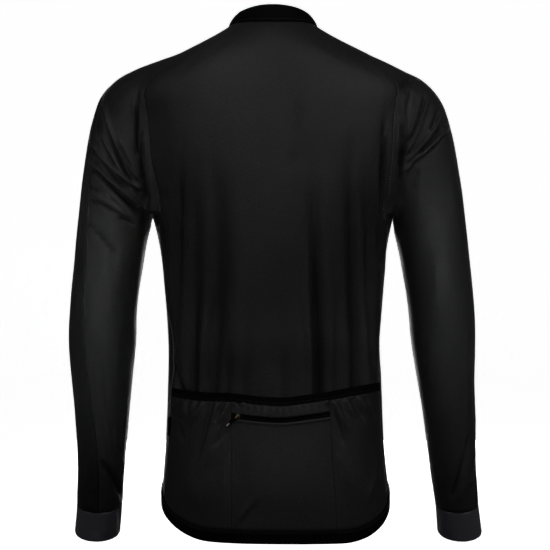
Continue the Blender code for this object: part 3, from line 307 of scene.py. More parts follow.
def full_turn(count: int) -> Grid:
    """Angles once round a ring in radians, evenly spaced, without the first one again."""
    return np.linspace(0.0, 2 * np.pi, count, endpoint=False)


def signed_power(value: Grid, power: Grid) -> Grid:
    """Power that keeps the sign: sign(v) |v|^p."""
    return np.sign(value) * np.abs(value) ** power


def superellipse(angle: Grid, half_width: Grid, behind: Grid, before: Grid,
                 square: Grid) -> tuple[Grid, Grid]:
    """Rounded-square ring: x = a |sin|^(2/n) and y = -b |cos|^(2/n), its depth b not the same in front.

    Args:
        angle: Degrees from the middle of the back.
        half_width: Half the ring's width.
        behind: Depth at the back.
        before: Depth at the front.
        square: The power n, 2 for an ellipse.

    Returns:
        The ring's x and y.
    """
    sine, cosine = np.sin(np.radians(angle)), np.cos(np.radians(angle))
    depth = np.where(cosine > 0, behind, before)
    return half_width * signed_power(sine, 2 / square), -depth * signed_power(cosine, 2 / square)


def lengths(points: Grid, axis: int) -> Grid:
    """Distance along each grid line from its first point.

    Args:
        points: Grid of points.
        axis: 0 to measure down the columns and 1 along the rows.

    Returns:
        One distance for each point.
    """
    steps = np.linalg.norm(np.diff(points, axis=axis), axis=-1)
    shape = list(points.shape[:2])
    shape[axis] = 1
    return np.concatenate([np.zeros(shape), np.cumsum(steps, axis=axis)], axis=axis)


def normals_of(surface: Surface, u: Grid, v: Grid, step_u: float, step_v: float) -> Grid:
    """Outward normals of a surface: the cross product of its two differences just beside each point.

    Args:
        surface: Function of two parameters.
        u: First parameter of each point.
        v: Second parameter of each point.
        step_u: Half the first difference.
        step_v: Half the second difference.

    Returns:
        One unit vector for each point.
    """
    across = surface(u + step_u, v) - surface(u - step_u, v)
    up = surface(u, v + step_v) - surface(u, v - step_v)
    return unit(np.cross(across, up))


def grid_normals(points: Grid, closed: bool) -> Grid:
    """Normals of a grid from the differences between its own points.

    Args:
        points: Grid of points, rows first.
        closed: True where the last column meets the first.

    Returns:
        One unit vector for each point.
    """
    if closed:
        across = np.roll(points, -1, axis=1) - np.roll(points, 1, axis=1)
    else:
        across = np.gradient(points, axis=1)
    return unit(np.cross(across, np.gradient(points, axis=0)))


@dataclass(frozen=True)
class Unevenness:
    """Smooth seeded noise: random values on a square lattice, joined by level-ended weights."""

    seed: int
    cells: int = 64

    def at(self, u: Grid, v: Grid) -> Grid:
        """Value between -1 and 1 at a place, in lattice cells.

        Args:
            u: First coordinate.
            v: Second coordinate.

        Returns:
            The noise, in the shape of `u` and `v` together.
        """
        table = np.random.default_rng(self.seed).uniform(-1.0, 1.0, (self.cells, self.cells))
        u, v = np.broadcast_arrays(np.asarray(u, float), np.asarray(v, float))
        column, row = np.floor(u).astype(int), np.floor(v).astype(int)
        s, t = smoothstep(u - column), smoothstep(v - row)
        column, row = column % self.cells, row % self.cells
        after, below = (column + 1) % self.cells, (row + 1) % self.cells
        head = table[row, column] * (1 - s) + table[row, after] * s
        foot = table[below, column] * (1 - s) + table[below, after] * s
        return head * (1 - t) + foot * t


def fold_rise(x: Grid, z: Grid, folds: Grid, sharp: float = 2.0, fade: float = 0.3,
              full: float = 0.86) -> Grid:
    """Sum of folds. Each is a bell exp(-|d / w|^n) across a bowed line, faded in and out along it.

    Args:
        x: Distance from the middle line.
        z: Height.
        folds: Fold table.
        sharp: The power n, 2 for a soft fold and less for a crease.
        fade: Share of a fold's length over which it grows from its start.
        full: Share of a fold's length from which it fades towards its end.

    Returns:
        Height of the folds over the plain cloth.
    """
    total = np.zeros(np.broadcast(x, z).shape)
    for x0, z0, x1, z1, rise, width, bow in folds:
        length = np.hypot(x1 - x0, z1 - z0)
        ahead, aside = np.array([x1 - x0, z1 - z0]) / length, np.array([z0 - z1, x1 - x0]) / length
        along = ((x - x0) * ahead[0] + (z - z0) * ahead[1]) / length
        across = (x - x0) * aside[0] + (z - z0) * aside[1] - bow * 4 * along * (1 - along)
        ends = smoothstep(along, -0.1, fade) * (1 - smoothstep(along, full, 1.08))
        total += rise * ends * np.exp(-(np.abs(across / width) ** sharp))
    return total


def level_of(height: float) -> float:
    """Level of a height on the straight part of the body."""
    return (height - BACK_HEM) / (SHOULDER_BASE - BACK_HEM)


class Side(Enum):
    """A side of the wearer, with its sign along X."""

    LEFT = -1
    RIGHT = 1

    @property
    def word(self) -> str:
        """The side's name in the nodes."""
        return self.name.lower()

    @property
    def column(self) -> int:
        """Column of the side's own back seam in the seam tables."""
        return 1 if self is Side.LEFT else 2


# Column of the front seams in the seam tables, and a panel's four sewn edges
FRONT_COLUMN = 3
ALL_EDGES = ("left", "right", "foot", "head")

# Levels of the tucked foot of the cloth, of the hem band's upper edge, and of the armpit
CLOTH_FOOT = level_of(BACK_HEM + HEM_BAND - TUCK)
BAND_TOP = level_of(BACK_HEM + HEM_BAND)
ARMPIT_LEVEL = level_of(ARMPIT)


@dataclass(frozen=True)
class Torso:
    """Body of the jacket from hem to neck, as a function of an angle round it and a level up it.

    Level 0 follows the hem, 0.3 to 1 lie level up to the shoulder base, and 1 to 2 run over the shoulder.
    """

    fold_depth: float = 2.0
    softness: Unevenness = Unevenness(11)
    softness_rise: float = 0.45
    softness_width: float = 15.0
    softness_height: float = 46.0

    def ring_point(self, angle: Grid, height: Grid) -> Grid:
        """Point below the shoulders: the superellipse ring of the body table at a height.

        Args:
            angle: Degrees round the body.
            height: Heights.

        Returns:
            The points.
        """
        middle, *sizes = (spline(height, BODY[:, 0], BODY[:, i]) for i in range(1, 6))
        x, y = superellipse(angle, *sizes)
        return np.stack([middle + x, y, height + 0 * x], axis=-1)

    def loop_point(self, angle: Grid, half_width: float, behind: float, before: float,
                   heights: Sequence[float]) -> Grid:
        """Point of a neck loop: an ellipse whose height is a parabola of its depth through three heights."""
        x, y = superellipse(angle, half_width, behind, before, 2.0)
        return np.stack([x, y, np.polyval(np.polyfit((-behind, 0.0, before), heights, 2), y)], axis=-1)

    def neck_point(self, angle: Grid) -> Grid:
        """Point of the seam between body and collar."""
        return self.loop_point(angle, NECK_HALF_WIDTH, NECK_BACK, NECK_FRONT, NECK_HEIGHTS)

    def shoulder_point(self, angle: Grid, part: Grid) -> Grid:
        """Cubic Bezier curve from the shoulder base (part 0) up and over to the neck seam (part 1).

        Args:
            angle: Degrees round the body.
            part: Share of the way up the curve.

        Returns:
            The points.
        """
        foot = self.ring_point(angle, np.full(angle.shape, SHOULDER_BASE))
        below = self.ring_point(angle, np.full(angle.shape, SHOULDER_BASE - 5.0))
        neck = self.neck_point(angle)
        rise = (neck[..., 2:] - foot[..., 2:]) / 5.0
        slope = 0.95 - 0.30 * np.sin(np.radians(angle)) ** 2
        first = foot + (foot - below) * rise * 0.45
        out = (foot - neck) * 0.4
        out[..., 2] = -slope * np.linalg.norm(out[..., :2], axis=-1)
        second = neck + out
        t = part[..., None]
        return (1 - t) ** 3 * foot + 3 * t * (1 - t) ** 2 * first + 3 * t * t * (1 - t) * second + t**3 * neck

    def hem_height(self, angle: Grid) -> Grid:
        """Height of the hem: level across the back, curving up at the sides to the shorter front.

        Args:
            angle: Degrees round the body.

        Returns:
            The heights.
        """
        drop = 1 - smoothstep(np.abs(angle), HEM_TURN_END, HEM_TURN_START)
        left = HEM_LEFT_RISE * np.exp(-(((angle - HEM_LEFT_ANGLE) / HEM_LEFT_SPREAD) ** 2))
        return FRONT_HEM + (BACK_HEM - FRONT_HEM) * drop - HEM_TILT * np.sin(np.radians(angle)) * drop + left

    def row_height(self, angle: Grid, level: Grid) -> Grid:
        """Height of a level: the hem's own height, faded into level rows by 0.3."""
        fade = 1 - smoothstep(level, 0.0, 0.3)
        return BACK_HEM + level * (SHOULDER_BASE - BACK_HEM) + (self.hem_height(angle) - BACK_HEM) * fade

    def plain(self, angle: Grid, level: Grid) -> Grid:
        """Body without folds: a ring up to level 1 and the shoulder curve above it.

        Args:
            angle: Degrees round the body.
            level: Levels up the body.

        Returns:
            The points.
        """
        angle, level = np.broadcast_arrays(np.asarray(angle, float), np.asarray(level, float))
        low = self.ring_point(angle, self.row_height(angle, np.minimum(level, 1.0)))
        high = self.shoulder_point(angle, np.clip(level - 1.0, 0.0, 1.0))
        return np.where(level[..., None] <= 1.0, low, high)

    def surface(self, angle: Grid, level: Grid) -> Grid:
        """Body with folds, creases and the softness of worn cloth, all of them along its normals.

        Args:
            angle: Degrees round the body.
            level: Levels up the body.

        Returns:
            The points.
        """
        angle, level = np.broadcast_arrays(np.asarray(angle, float), np.asarray(level, float))
        points = self.plain(angle, level)
        normals = normals_of(self.plain, angle, level, 0.5, 0.002)
        back = smoothstep(np.cos(np.radians(angle)), 0.12, 0.4)
        front = smoothstep(-np.cos(np.radians(angle)), 0.05, 0.35)
        x, z = points[..., 0], points[..., 2]
        folds, creases = fold_rise(x, z, BACK_FOLDS, 2.0, 0.6), fold_rise(x, z, BACK_CREASES, 1.5)
        rise = back * self.fold_depth * (folds + creases)
        rise += back * fold_rise(x, z, BACK_FORMS)
        rise += front * (fold_rise(x, z, FRONT_FOLDS) + fold_rise(x, z, FRONT_CREASES, 1.5))
        girth = angle * 2.2 / self.softness_width
        free = smoothstep(level, 0.02, 0.1) * (1 - smoothstep(level, 1.6, 1.95))
        above_pockets = np.where(np.abs(angle) < 80, smoothstep(z, -482.0, -440.0), 1.0)
        rise += self.softness_rise * free * above_pockets * self.softness.at(girth, z / self.softness_height)
        return points + normals * rise[..., None]

    def normals(self, angle: Grid, level: Grid) -> Grid:
        """Normals of the folded body. The last level before the neck looks downwards only."""
        angle, level = np.broadcast_arrays(np.asarray(angle, float), np.asarray(level, float))
        return normals_of(self.surface, angle, np.minimum(level, 1.996), 0.5, 0.002)

    def cloth(self, angle: Grid, level: Grid) -> tuple[Grid, Grid]:
        """Points and normals of the folded body."""
        return self.surface(angle, level), self.normals(angle, level)

    def angle_at(self, level: float, distance: float, front: bool = False) -> float:
        """Angle at which a level is so far from its middle line.

        Args:
            level: Level up the body.
            distance: Distance from the level's middle.
            front: True to look before the body, and False behind it.

        Returns:
            Degrees from the middle of the back.
        """
        angles = np.linspace(0.0, 90.0, 361)
        points = self.plain(180.0 - angles if front else angles, np.full(angles.shape, level))
        middle = self.plain(np.array([180.0 if front else 0.0]), np.array([level]))[0, 0]
        found = np.interp(distance, np.abs(points[:, 0] - middle), angles)
        return 180.0 - found if front else found

    def seam_angle(self, column: int, height: Grid) -> Grid:
        """Angle of a side seam at a height."""
        return spline(height, SIDE_SEAMS[:, 0], SIDE_SEAMS[:, column])

    def border(self, column: int, level: Grid) -> Grid:
        """Angle of a panel's outer border: its side seam, then its armhole seam, then the shoulder line.

        Args:
            column: Column of the seam tables, 1 and 2 behind and 3 in front.
            level: Levels to read the border at.

        Returns:
            Degrees from the middle of the back, without the side's sign.
        """
        side = self.seam_angle(column, self.row_height(np.full(level.shape, 90.0), level))
        knots = np.concatenate([[ARMPIT_LEVEL], ARMHOLE[:, 0], [ARMHOLE_TOP]])
        found = [self.angle_at(row[0], row[column], column == FRONT_COLUMN) for row in ARMHOLE]
        start = float(self.seam_angle(column, np.array([ARMPIT]))[0])
        armhole = spline(level, knots, np.concatenate([[start], found, [90.0]]))
        return np.where(level <= ARMPIT_LEVEL, side, np.where(level <= ARMHOLE_TOP, armhole, 90.0))

    def zip_edge(self, level: Grid) -> Grid:
        """Degrees between the front's middle and a front's inner edge, beside the zip.

        Args:
            level: Levels up the body.

        Returns:
            The degrees.
        """
        knots = np.linspace(0.0, 2.0, 41)
        found = [180.0 - self.angle_at(knot, CHAIN_HALF_WIDTH + SEAM_GAP, True) for knot in knots]
        return np.interp(level, knots, found)

    def collar_point(self, angle: Grid, part: Grid) -> Grid:
        """Collar between its seam (0) and its top edge (1), a straight line bellied out by a parabola.

        Args:
            angle: Degrees round the neck.
            part: Share of the way up the collar.

        Returns:
            The points.
        """
        foot = self.neck_point(angle)
        head = self.loop_point(angle, COLLAR_HALF_WIDTH, COLLAR_BACK, COLLAR_FRONT, COLLAR_HEIGHTS)
        points = foot + (head - foot) * part[..., None]
        out = unit(points * np.array([1.0, 1.0, 0.0]))
        return points + out * (COLLAR_BELLY * 4 * part * (1 - part))[..., None]

    def collar_edge(self, part: Grid) -> Grid:
        """Angle at which the collar stops beside the zip."""
        half_width = NECK_HALF_WIDTH + (COLLAR_HALF_WIDTH - NECK_HALF_WIDTH) * part
        return 180.0 - np.degrees(np.arcsin((CHAIN_HALF_WIDTH + SEAM_GAP) / half_width))

    def over_back(self, x: Grid, height: Grid) -> Grid:
        """Point on the plain back at a distance x from the middle and a height."""
        return self.ring_point(self.back_angle(x, height), height)

    def back_angle(self, x: Grid, height: Grid) -> Grid:
        """Angle of a point behind at a distance x: the superellipse solved for its angle.

        Args:
            x: Distances from the middle line.
            height: Heights.

        Returns:
            Degrees round the body.
        """
        middle, half_width, square = (spline(height, BODY[:, 0], BODY[:, i]) for i in (1, 2, 5))
        ratio = np.clip(np.abs(x - middle) / half_width, 0.0, 0.999)
        return np.sign(x - middle) * np.degrees(np.arcsin(ratio ** (square / 2)))


class Weave(Enum):
    """How a finish is textured."""

    TWILL = "diagonal knit"
    RIB = "ribs along the piece"
    SMOOTH = "fine plain knit"
    CORD = "twisted cord"
    CAST = "cast or moulded"


class NodeGraph:
    """Shader nodes of one material, joined by name."""

    def __init__(self, name: str) -> None:
        """Start an empty material.

        Args:
            name: The material's name.
        """
        self.material = bpy.data.materials.new(name)
        self.material.use_nodes = True
        self.tree = self.material.node_tree
        self.tree.nodes.clear()

    def add(self, kind: str, values: Optional[dict] = None, **settings: object) -> bpy.types.Node:
        """Add a node, set its fields and fill its inputs.

        Args:
            kind: Blender's name of the node without "ShaderNode".
            values: Inputs by name or number, each a value or an output to link.
            **settings: Fields of the node.

        Returns:
            The node.
        """
        node = self.tree.nodes.new(f"ShaderNode{kind}")
        for key, value in settings.items():
            setattr(node, key, value)
        for key, value in (values or {}).items():
            if isinstance(value, Socket):
                self.tree.links.new(value, node.inputs[key])
            else:
                node.inputs[key].default_value = value
        return node

    def math(self, operation: str, first: object, second: object = 0.0, third: object = 0.0) -> Socket:
        """Result of a sum on two or three values or outputs."""
        return self.add("Math", {0: first, 1: second, 2: third}, operation=operation).outputs[0]

    def blend(self, share: Socket, first: Colour | Socket, second: Colour) -> Socket:
        """Colour between two colours by a share from 0 to 1."""
        first = first if isinstance(first, Socket) else (*first, 1.0)
        return self.add("Mix", {"Factor": share, 6: first, 7: (*second, 1.0)}, data_type="RGBA").outputs[2]


@dataclass(frozen=True)
class Finish:
    """Colour, gloss and texture of one material."""

    name: str
    weave: Weave
    colour: Colour
    lit_colour: Colour
    roughness: float = 0.6
    specular: float = 0.3
    sheen: float = 0.0
    metallic: float = 0.0
    pitch: float = 1.6
    depth: float = 0.12
    bump: float = 0.5
    mottle: float = 0.25
    grain: float = 0.0
    speckle: float = 0.0
    # Strength of the painted shade in the folds' hollows, 0 for none
    fold_shade: float = 0.0

    def build(self) -> bpy.types.Material:
        """The material, made once.

        Returns:
            The material of this finish.
        """
        found = bpy.data.materials.get(self.name)
        if found is not None:
            return found
        graph = NodeGraph(self.name)
        place = graph.add("TexCoord").outputs["Object"]
        broad = graph.add("TexNoise", {"Vector": place, "Scale": 24.0, "Detail": 3.0, "Roughness": 0.55})
        fine = graph.add("TexNoise", {"Vector": place, "Scale": 900.0, "Detail": 2.0, "Roughness": 0.6})
        pattern = self.pattern(graph, place)
        mottled = graph.math("MULTIPLY", broad.outputs["Fac"], self.mottle)
        share = graph.math("MULTIPLY_ADD", pattern, 1.0 - self.mottle, mottled)
        grain = graph.add("TexNoise", {"Vector": place, "Scale": 640.0, "Detail": 0.0, "Roughness": 0.5})
        if self.speckle:
            off_middle = graph.math("SUBTRACT", grain.outputs["Fac"], 0.5)
            share = graph.math("MULTIPLY_ADD", off_middle, self.speckle, share)
        colour = graph.blend(share, self.colour, self.lit_colour)
        rough = graph.math("MULTIPLY_ADD", broad.outputs["Fac"], 0.16, self.roughness - 0.08)
        # Painted shade in creases: the colour darkens towards the crease shade colour where the per-point
        # mask of fold hollows is high, and the roughness rises there too
        if self.fold_shade:
            depth = graph.add("Attribute", attribute_name="painted_crease_shade").outputs["Fac"]
            painted_crease_shade = graph.math("MULTIPLY", depth, self.fold_shade)
            colour = graph.blend(painted_crease_shade, colour, PAINTED_CREASE_SHADE)
            rough = graph.math("MULTIPLY_ADD", painted_crease_shade, 0.35, rough)
        height = graph.math("MULTIPLY_ADD", fine.outputs["Fac"], 0.25, pattern)
        if self.grain:
            height = graph.math("MULTIPLY_ADD", grain.outputs["Fac"], self.grain, height)
        bump = graph.add("Bump", {"Strength": self.bump, "Distance": self.depth * MM, "Height": height})
        shader = graph.add("BsdfPrincipled", {
            "Base Color": colour,
            "Roughness": rough,
            "Metallic": self.metallic,
            "Specular IOR Level": self.specular,
            "Sheen Weight": self.sheen,
            "Sheen Roughness": 0.45,
            "Normal": bump.outputs["Normal"],
        })
        output = graph.add("OutputMaterial")
        graph.tree.links.new(shader.outputs[0], output.inputs["Surface"])
        return graph.material

    def pattern(self, graph: NodeGraph, place: Socket) -> Socket:
        """Texture from 0 to 1 of the finish's weave, along the piece's own cloth where it is woven.

        Args:
            graph: Nodes of the material.
            place: Object coordinates.

        Returns:
            Output with the pattern's height.
        """
        if self.weave is Weave.CAST:
            return graph.add("TexNoise", {"Vector": place, "Scale": 260.0, "Detail": 3.0}).outputs["Fac"]
        cloth = graph.add("UVMap", uv_map="weave").outputs["UV"]
        split = graph.add("SeparateXYZ", {"Vector": cloth})
        across, along = split.outputs[0], split.outputs[1]
        turns = 2 * np.pi / (self.pitch * MM)
        if self.weave is Weave.TWILL:
            slanted = graph.math("MULTIPLY_ADD", along, 0.8, across)
            main = self.wave(graph, slanted, turns)
            other = self.wave(graph, along, turns * 1.9)
            return graph.math("MULTIPLY_ADD", main, 0.65, graph.math("MULTIPLY", other, 0.35))
        if self.weave is Weave.RIB:
            main = self.wave(graph, along, turns)
            other = self.wave(graph, across, turns * 1.3)
            return graph.math("MULTIPLY_ADD", main, 0.75, graph.math("MULTIPLY", other, 0.25))
        if self.weave is Weave.CORD:
            return self.wave(graph, graph.math("MULTIPLY_ADD", along, 1.0, across), turns)
        main, other = self.wave(graph, across, turns), self.wave(graph, along, turns * 1.2)
        return graph.math("MULTIPLY", graph.math("ADD", main, other), 0.5)

    def wave(self, graph: NodeGraph, along: object, turns: float) -> Socket:
        """Wave from 0 to 1 along an output: 0.5 + 0.5 sin(turns * along)."""
        sine = graph.math("SINE", graph.math("MULTIPLY", along, turns))
        return graph.math("MULTIPLY_ADD", sine, 0.5, 0.5)


# The knit, and the sleeves' outer knit made from it, darken in their folds' hollows by painted shade
# (fold_shade)
KNIT = Finish("satin_knit", Weave.TWILL, (0.008, 0.008, 0.0081), (0.014, 0.014, 0.0142),
              roughness=0.52, specular=0.28, pitch=1.7, depth=0.12, bump=0.4, grain=7.0, speckle=4.0,
              fold_shade=0.9)
OUTER_KNIT = replace(KNIT, name="outer_sleeve_knit", colour=(0.005, 0.005, 0.0051),
                     lit_colour=(0.0085, 0.0085, 0.0087), roughness=0.55, specular=0.20, grain=6.0)
SMOOTH_KNIT = Finish("cuff_knit", Weave.SMOOTH, (0.048, 0.048, 0.062), (0.07, 0.07, 0.088),
                     roughness=0.40, specular=0.42, pitch=0.9, depth=0.05, bump=0.25)
ELASTIC = Finish("black_elastic", Weave.RIB, (0.0008, 0.0008, 0.0008), (0.0022, 0.0022, 0.0022),
                 roughness=0.72, specular=0.04, pitch=1.1, depth=0.14, bump=0.5)
COLLAR_KNIT = Finish("collar_knit", Weave.TWILL, (0.001, 0.001, 0.001), (0.0024, 0.0024, 0.0024),
                     roughness=0.62, specular=0.05, pitch=1.4, depth=0.10, bump=0.4)
ZIP_CLOTH = Finish("zip_tape", Weave.RIB, (0.0008, 0.0008, 0.0008), (0.0022, 0.0022, 0.0022),
                   roughness=0.66, specular=0.05, pitch=0.8, depth=0.10, bump=0.5)
TEETH = Finish("zip_coil", Weave.CAST, (0.006, 0.006, 0.006), (0.01, 0.01, 0.01),
               roughness=0.34, specular=0.5, depth=0.03, bump=0.2)
PIPING = Finish("grey_piping", Weave.CORD, (0.05, 0.05, 0.052), (0.105, 0.105, 0.108),
                roughness=0.50, specular=0.30, pitch=1.3, depth=0.10, bump=0.5)
THREAD = Finish("black_thread", Weave.CORD, (0.006, 0.006, 0.006), (0.02, 0.02, 0.021),
                roughness=0.42, specular=0.4, pitch=0.5, depth=0.05, bump=0.4)
SEAM_THREAD = Finish("grey_thread", Weave.CORD, (0.045, 0.045, 0.045), (0.12, 0.12, 0.12),
                     roughness=0.50, specular=0.25, pitch=0.5, depth=0.05, bump=0.4)
BRASS = Finish("worn_brass", Weave.CAST, (0.42, 0.27, 0.1), (0.72, 0.53, 0.26),
               roughness=0.34, metallic=1.0, specular=0.5, depth=0.04, bump=0.25, mottle=0.6)
ENAMEL = Finish("worn_enamel", Weave.CAST, (0.01, 0.009, 0.008), (0.03, 0.024, 0.016),
                roughness=0.38, specular=0.5, depth=0.04, bump=0.25, mottle=0.6)
PULLER = Finish("black_puller", Weave.CAST, (0.0006, 0.0006, 0.0006), (0.0016, 0.0016, 0.0016),
                roughness=0.7, specular=0.05, depth=0.05, bump=0.3)
PALE_METAL = Finish("pale_metal", Weave.CAST, (0.42, 0.41, 0.38), (0.66, 0.64, 0.6),
                    roughness=0.30, metallic=1.0, specular=0.5, depth=0.03, bump=0.2, mottle=0.5)


def add_mesh(name: str, points: Grid, faces: Sequence[Grid], finish: Finish,
             weave: Optional[Grid] = None) -> Piece:
    """Smooth mesh object in metres at the origin.

    Args:
        name: The object's name.
        points: Its points, in millimetres.
        faces: Arrays of faces, one row a face, each array with its own count of corners.
        finish: Its material.
        weave: Place of each point on the flat cloth, in millimetres, for the texture.

    Returns:
        The object.
    """
    mesh = bpy.data.meshes.new(name)
    corners = np.concatenate([block.ravel() for block in faces]).astype(np.int32)
    counts = np.concatenate([np.full(len(block), block.shape[1]) for block in faces]).astype(np.int32)
    mesh.vertices.add(len(points))
    mesh.vertices.foreach_set("co", (points * MM).astype(np.float32).ravel())
    mesh.loops.add(len(corners))
    mesh.loops.foreach_set("vertex_index", corners)
    mesh.polygons.add(len(counts))
    mesh.polygons.foreach_set("loop_start", (np.cumsum(counts) - counts).astype(np.int32))
    mesh.polygons.foreach_set("loop_total", counts)
    mesh.polygons.foreach_set("use_smooth", np.ones(len(counts), bool))
    if weave is not None:
        layer = mesh.uv_layers.new(name="weave")
        layer.data.foreach_set("uv", (weave[corners] * MM).astype(np.float32).ravel())
    mesh.update(calc_edges=True)
    mesh.validate()
    mesh.materials.append(finish.build())
    piece = bpy.data.objects.new(name, mesh)
    bpy.context.scene.collection.objects.link(piece)
    return piece


def quads(rows: int, columns: int, closed: bool) -> Grid:
    """Faces of a grid of points, as point numbers.

    Args:
        rows: Rows of points.
        columns: Points in a row.
        closed: True where the last column meets the first.

    Returns:
        One row of four numbers for each face.
    """
    last = columns if closed else columns - 1
    row, column = np.meshgrid(np.arange(rows - 1), np.arange(last), indexing="ij")
    after = (column + 1) % columns
    corners = [row * columns + column, row * columns + after, (row + 1) * columns + after,
               (row + 1) * columns + column]
    return np.stack(corners, axis=-1).reshape(-1, 4)


def end_caps(rows: int, around: int) -> Grid:
    """The two faces that close a tube of so many rows of points."""
    last = (rows - 1) * around
    return np.stack([np.arange(around)[::-1], np.arange(last, last + around)])


def faces_inwards(points: Grid, faces: Grid, away: Grid) -> bool:
    """Whether faces of four corners look against the directions that lead away from their inside.

    Args:
        points: The points.
        faces: Their faces, one a row.
        away: A direction for each face.

    Returns:
        Whether most of them do.
    """
    corner = points.reshape(-1, 3)[faces]
    facing = np.cross(corner[:, 2] - corner[:, 0], corner[:, 3] - corner[:, 1])
    return bool(np.sum(facing * away) < 0)


def outer_loops(rows: int, columns: int, closed: bool) -> list[Grid]:
    """Loops of point numbers round a grid's edge, in the direction of its faces.

    Args:
        rows: Rows of points.
        columns: Columns of points.
        closed: Whether the columns go all round.

    Returns:
        The loops.
    """
    ring = np.arange(rows * columns).reshape(rows, columns)
    if closed:
        return [np.append(ring[0], ring[0, 0]), np.append(ring[-1], ring[-1, 0])[::-1]]
    return [np.concatenate([ring[0], ring[1:, -1], ring[-1, -2::-1], ring[-2::-1, 0]])]


def flat_places(points: Grid) -> Grid:
    """Place of each point on the flat cloth: length along its row from its middle, and up its column."""
    across, up = lengths(points, 1), lengths(points, 0)
    return np.stack([across - across[:, -1:] / 2, up], axis=-1)


@dataclass
class Cut:
    """Size of a piece as cut: its width square to its length, its longest column, and its area, in metres."""

    width: float
    length: float
    area: float

    @classmethod
    def of(cls, points: Grid, closed: bool) -> "Cut":
        """Measure a grid: its cells' areas, its widest strip's area over height, and its longest column.

        Args:
            points: Grid of points, in millimetres.
            closed: Whether its columns go all round.

        Returns:
            The sizes.
        """
        if closed:
            points = np.concatenate([points, points[:, :1]], axis=1)
        first, second = points[1:, 1:] - points[:-1, :-1], points[1:, :-1] - points[:-1, 1:]
        strips = np.linalg.norm(np.cross(first, second), axis=-1).sum(1) / 2
        steps = np.linalg.norm(np.diff(points, axis=0), axis=-1).mean(1)
        width, length = (strips / steps).max(), lengths(points, 0)[-1].max()
        return cls(width * MM, length * MM, min(strips.sum(), width * length) * MM * MM)


@dataclass
class Seamed:
    """How a piece of cloth settles at its sewn edges: a dip, and small puckers that fade into the cloth."""

    dip: float = 0.5
    reach: float = 1.6
    pucker: float = 0.32
    pucker_reach: float = 5.0
    pucker_pitch: float = 4.5
    seed: int = 5

    def settle(self, points: Grid, normals: Grid, edges: Sequence[str]) -> Grid:
        """Move a grid's points near its sewn edges: a bell exp(-(d / reach)^2) down, and noise along it.

        Args:
            points: Grid of points.
            normals: Their normals.
            edges: Sewn edges, out of left, right, foot and head.

        Returns:
            The settled points.
        """
        across, up = lengths(points, 1), lengths(points, 0)
        far = {"left": across, "right": across[:, -1:] - across, "foot": up, "head": up[-1:] - up}
        along = {"left": up, "right": up, "foot": across, "head": across}
        rise = np.zeros(points.shape[:2])
        for number, edge in enumerate(edges):
            rise -= self.dip * np.exp(-((far[edge] / self.reach) ** 2))
            noise = Unevenness(self.seed + number).at(along[edge] / self.pucker_pitch, far[edge] / 12.0)
            gone = np.exp(-((far[edge] / self.pucker_reach) ** 2)) * smoothstep(far[edge], 0.0, 1.5)
            rise += self.pucker * noise * gone
        return points + normals * rise[..., None]


def painted_crease_shade_mask(points: Grid, normals: Grid, closed: bool) -> Grid:
    """Mask of the painted shade in creases: the share of full depth at each point of a grid, how far it lies
    under the mean of its surroundings.

    The mean comes from repeated passes of (a + 2b + c) / 4 along both ways of the grid.

    Args:
        points: Grid of points.
        normals: Their outward normals.
        closed: True for a tube.

    Returns:
        Shares from 0 on flat cloth and ridges to 1 in deep folds, where the painted shade is full.
    """
    mean = points
    for _ in range(HOLLOW_PASSES):
        tall = np.pad(mean, ((1, 1), (0, 0), (0, 0)), mode="reflect", reflect_type="odd")
        mean = (tall[:-2] + 2 * mean + tall[2:]) / 4
        ends = {"mode": "wrap"} if closed else {"mode": "reflect", "reflect_type": "odd"}
        wide = np.pad(mean, ((0, 0), (1, 1), (0, 0)), **ends)
        mean = (wide[:, :-2] + 2 * mean + wide[:, 2:]) / 4
    return smoothstep(np.sum((mean - points) * normals, axis=-1), 0.0, HOLLOW_DEPTH)


def cloth_wall(name: str, points: Grid, normals: Grid, finish: Finish, wall: float = WALL,
               lift: float = 0.0, closed: bool = False, round_edges: Sequence[str] = ()) -> Piece:
    """Wall of cloth: a grid, a second one a wall further in, and rims between them.

    Args:
        name: The piece's name.
        points: Grid of points on the surface.
        normals: Their outward normals.
        finish: Its material.
        wall: Thickness.
        lift: How far the outer face stands over the grid.
        closed: True for a tube.
        round_edges: Open edges, head or foot, that are drawn in by half the wall.

    Returns:
        The piece.
    """
    rows, columns = points.shape[:2]
    top = np.full(rows, lift)
    inside = np.full(rows, wall)
    for edge in round_edges:
        row = 0 if edge == "foot" else -1
        top[row] -= wall * 0.35
        inside[row] -= wall * 0.6
    outer = points + normals * top[:, None, None]
    inner = outer - normals * inside[:, None, None]
    count = rows * columns
    face = quads(rows, columns, closed)
    blocks = [face, face[:, ::-1] + count]
    for rim in outer_loops(rows, columns, closed):
        a, b = rim[:-1], rim[1:]
        blocks.append(np.stack([b, a, a + count, b + count], axis=-1))
    if faces_inwards(outer, face, normals.reshape(-1, 3)[face[:, 0]]):
        blocks = [block[:, ::-1] for block in blocks]
    flat = flat_places(points).reshape(-1, 2)
    every = np.concatenate([outer.reshape(-1, 3), inner.reshape(-1, 3)])
    piece = add_mesh(name, every, blocks, finish, np.concatenate([flat, flat]))
    # Each point carries the mask of the painted shade in creases, read by the cloth's material
    layer = piece.data.attributes.new("painted_crease_shade", "FLOAT", "POINT")
    layer.data.foreach_set("value", np.tile(painted_crease_shade_mask(points, normals, closed).ravel(), 2).astype(np.float32))
    return piece


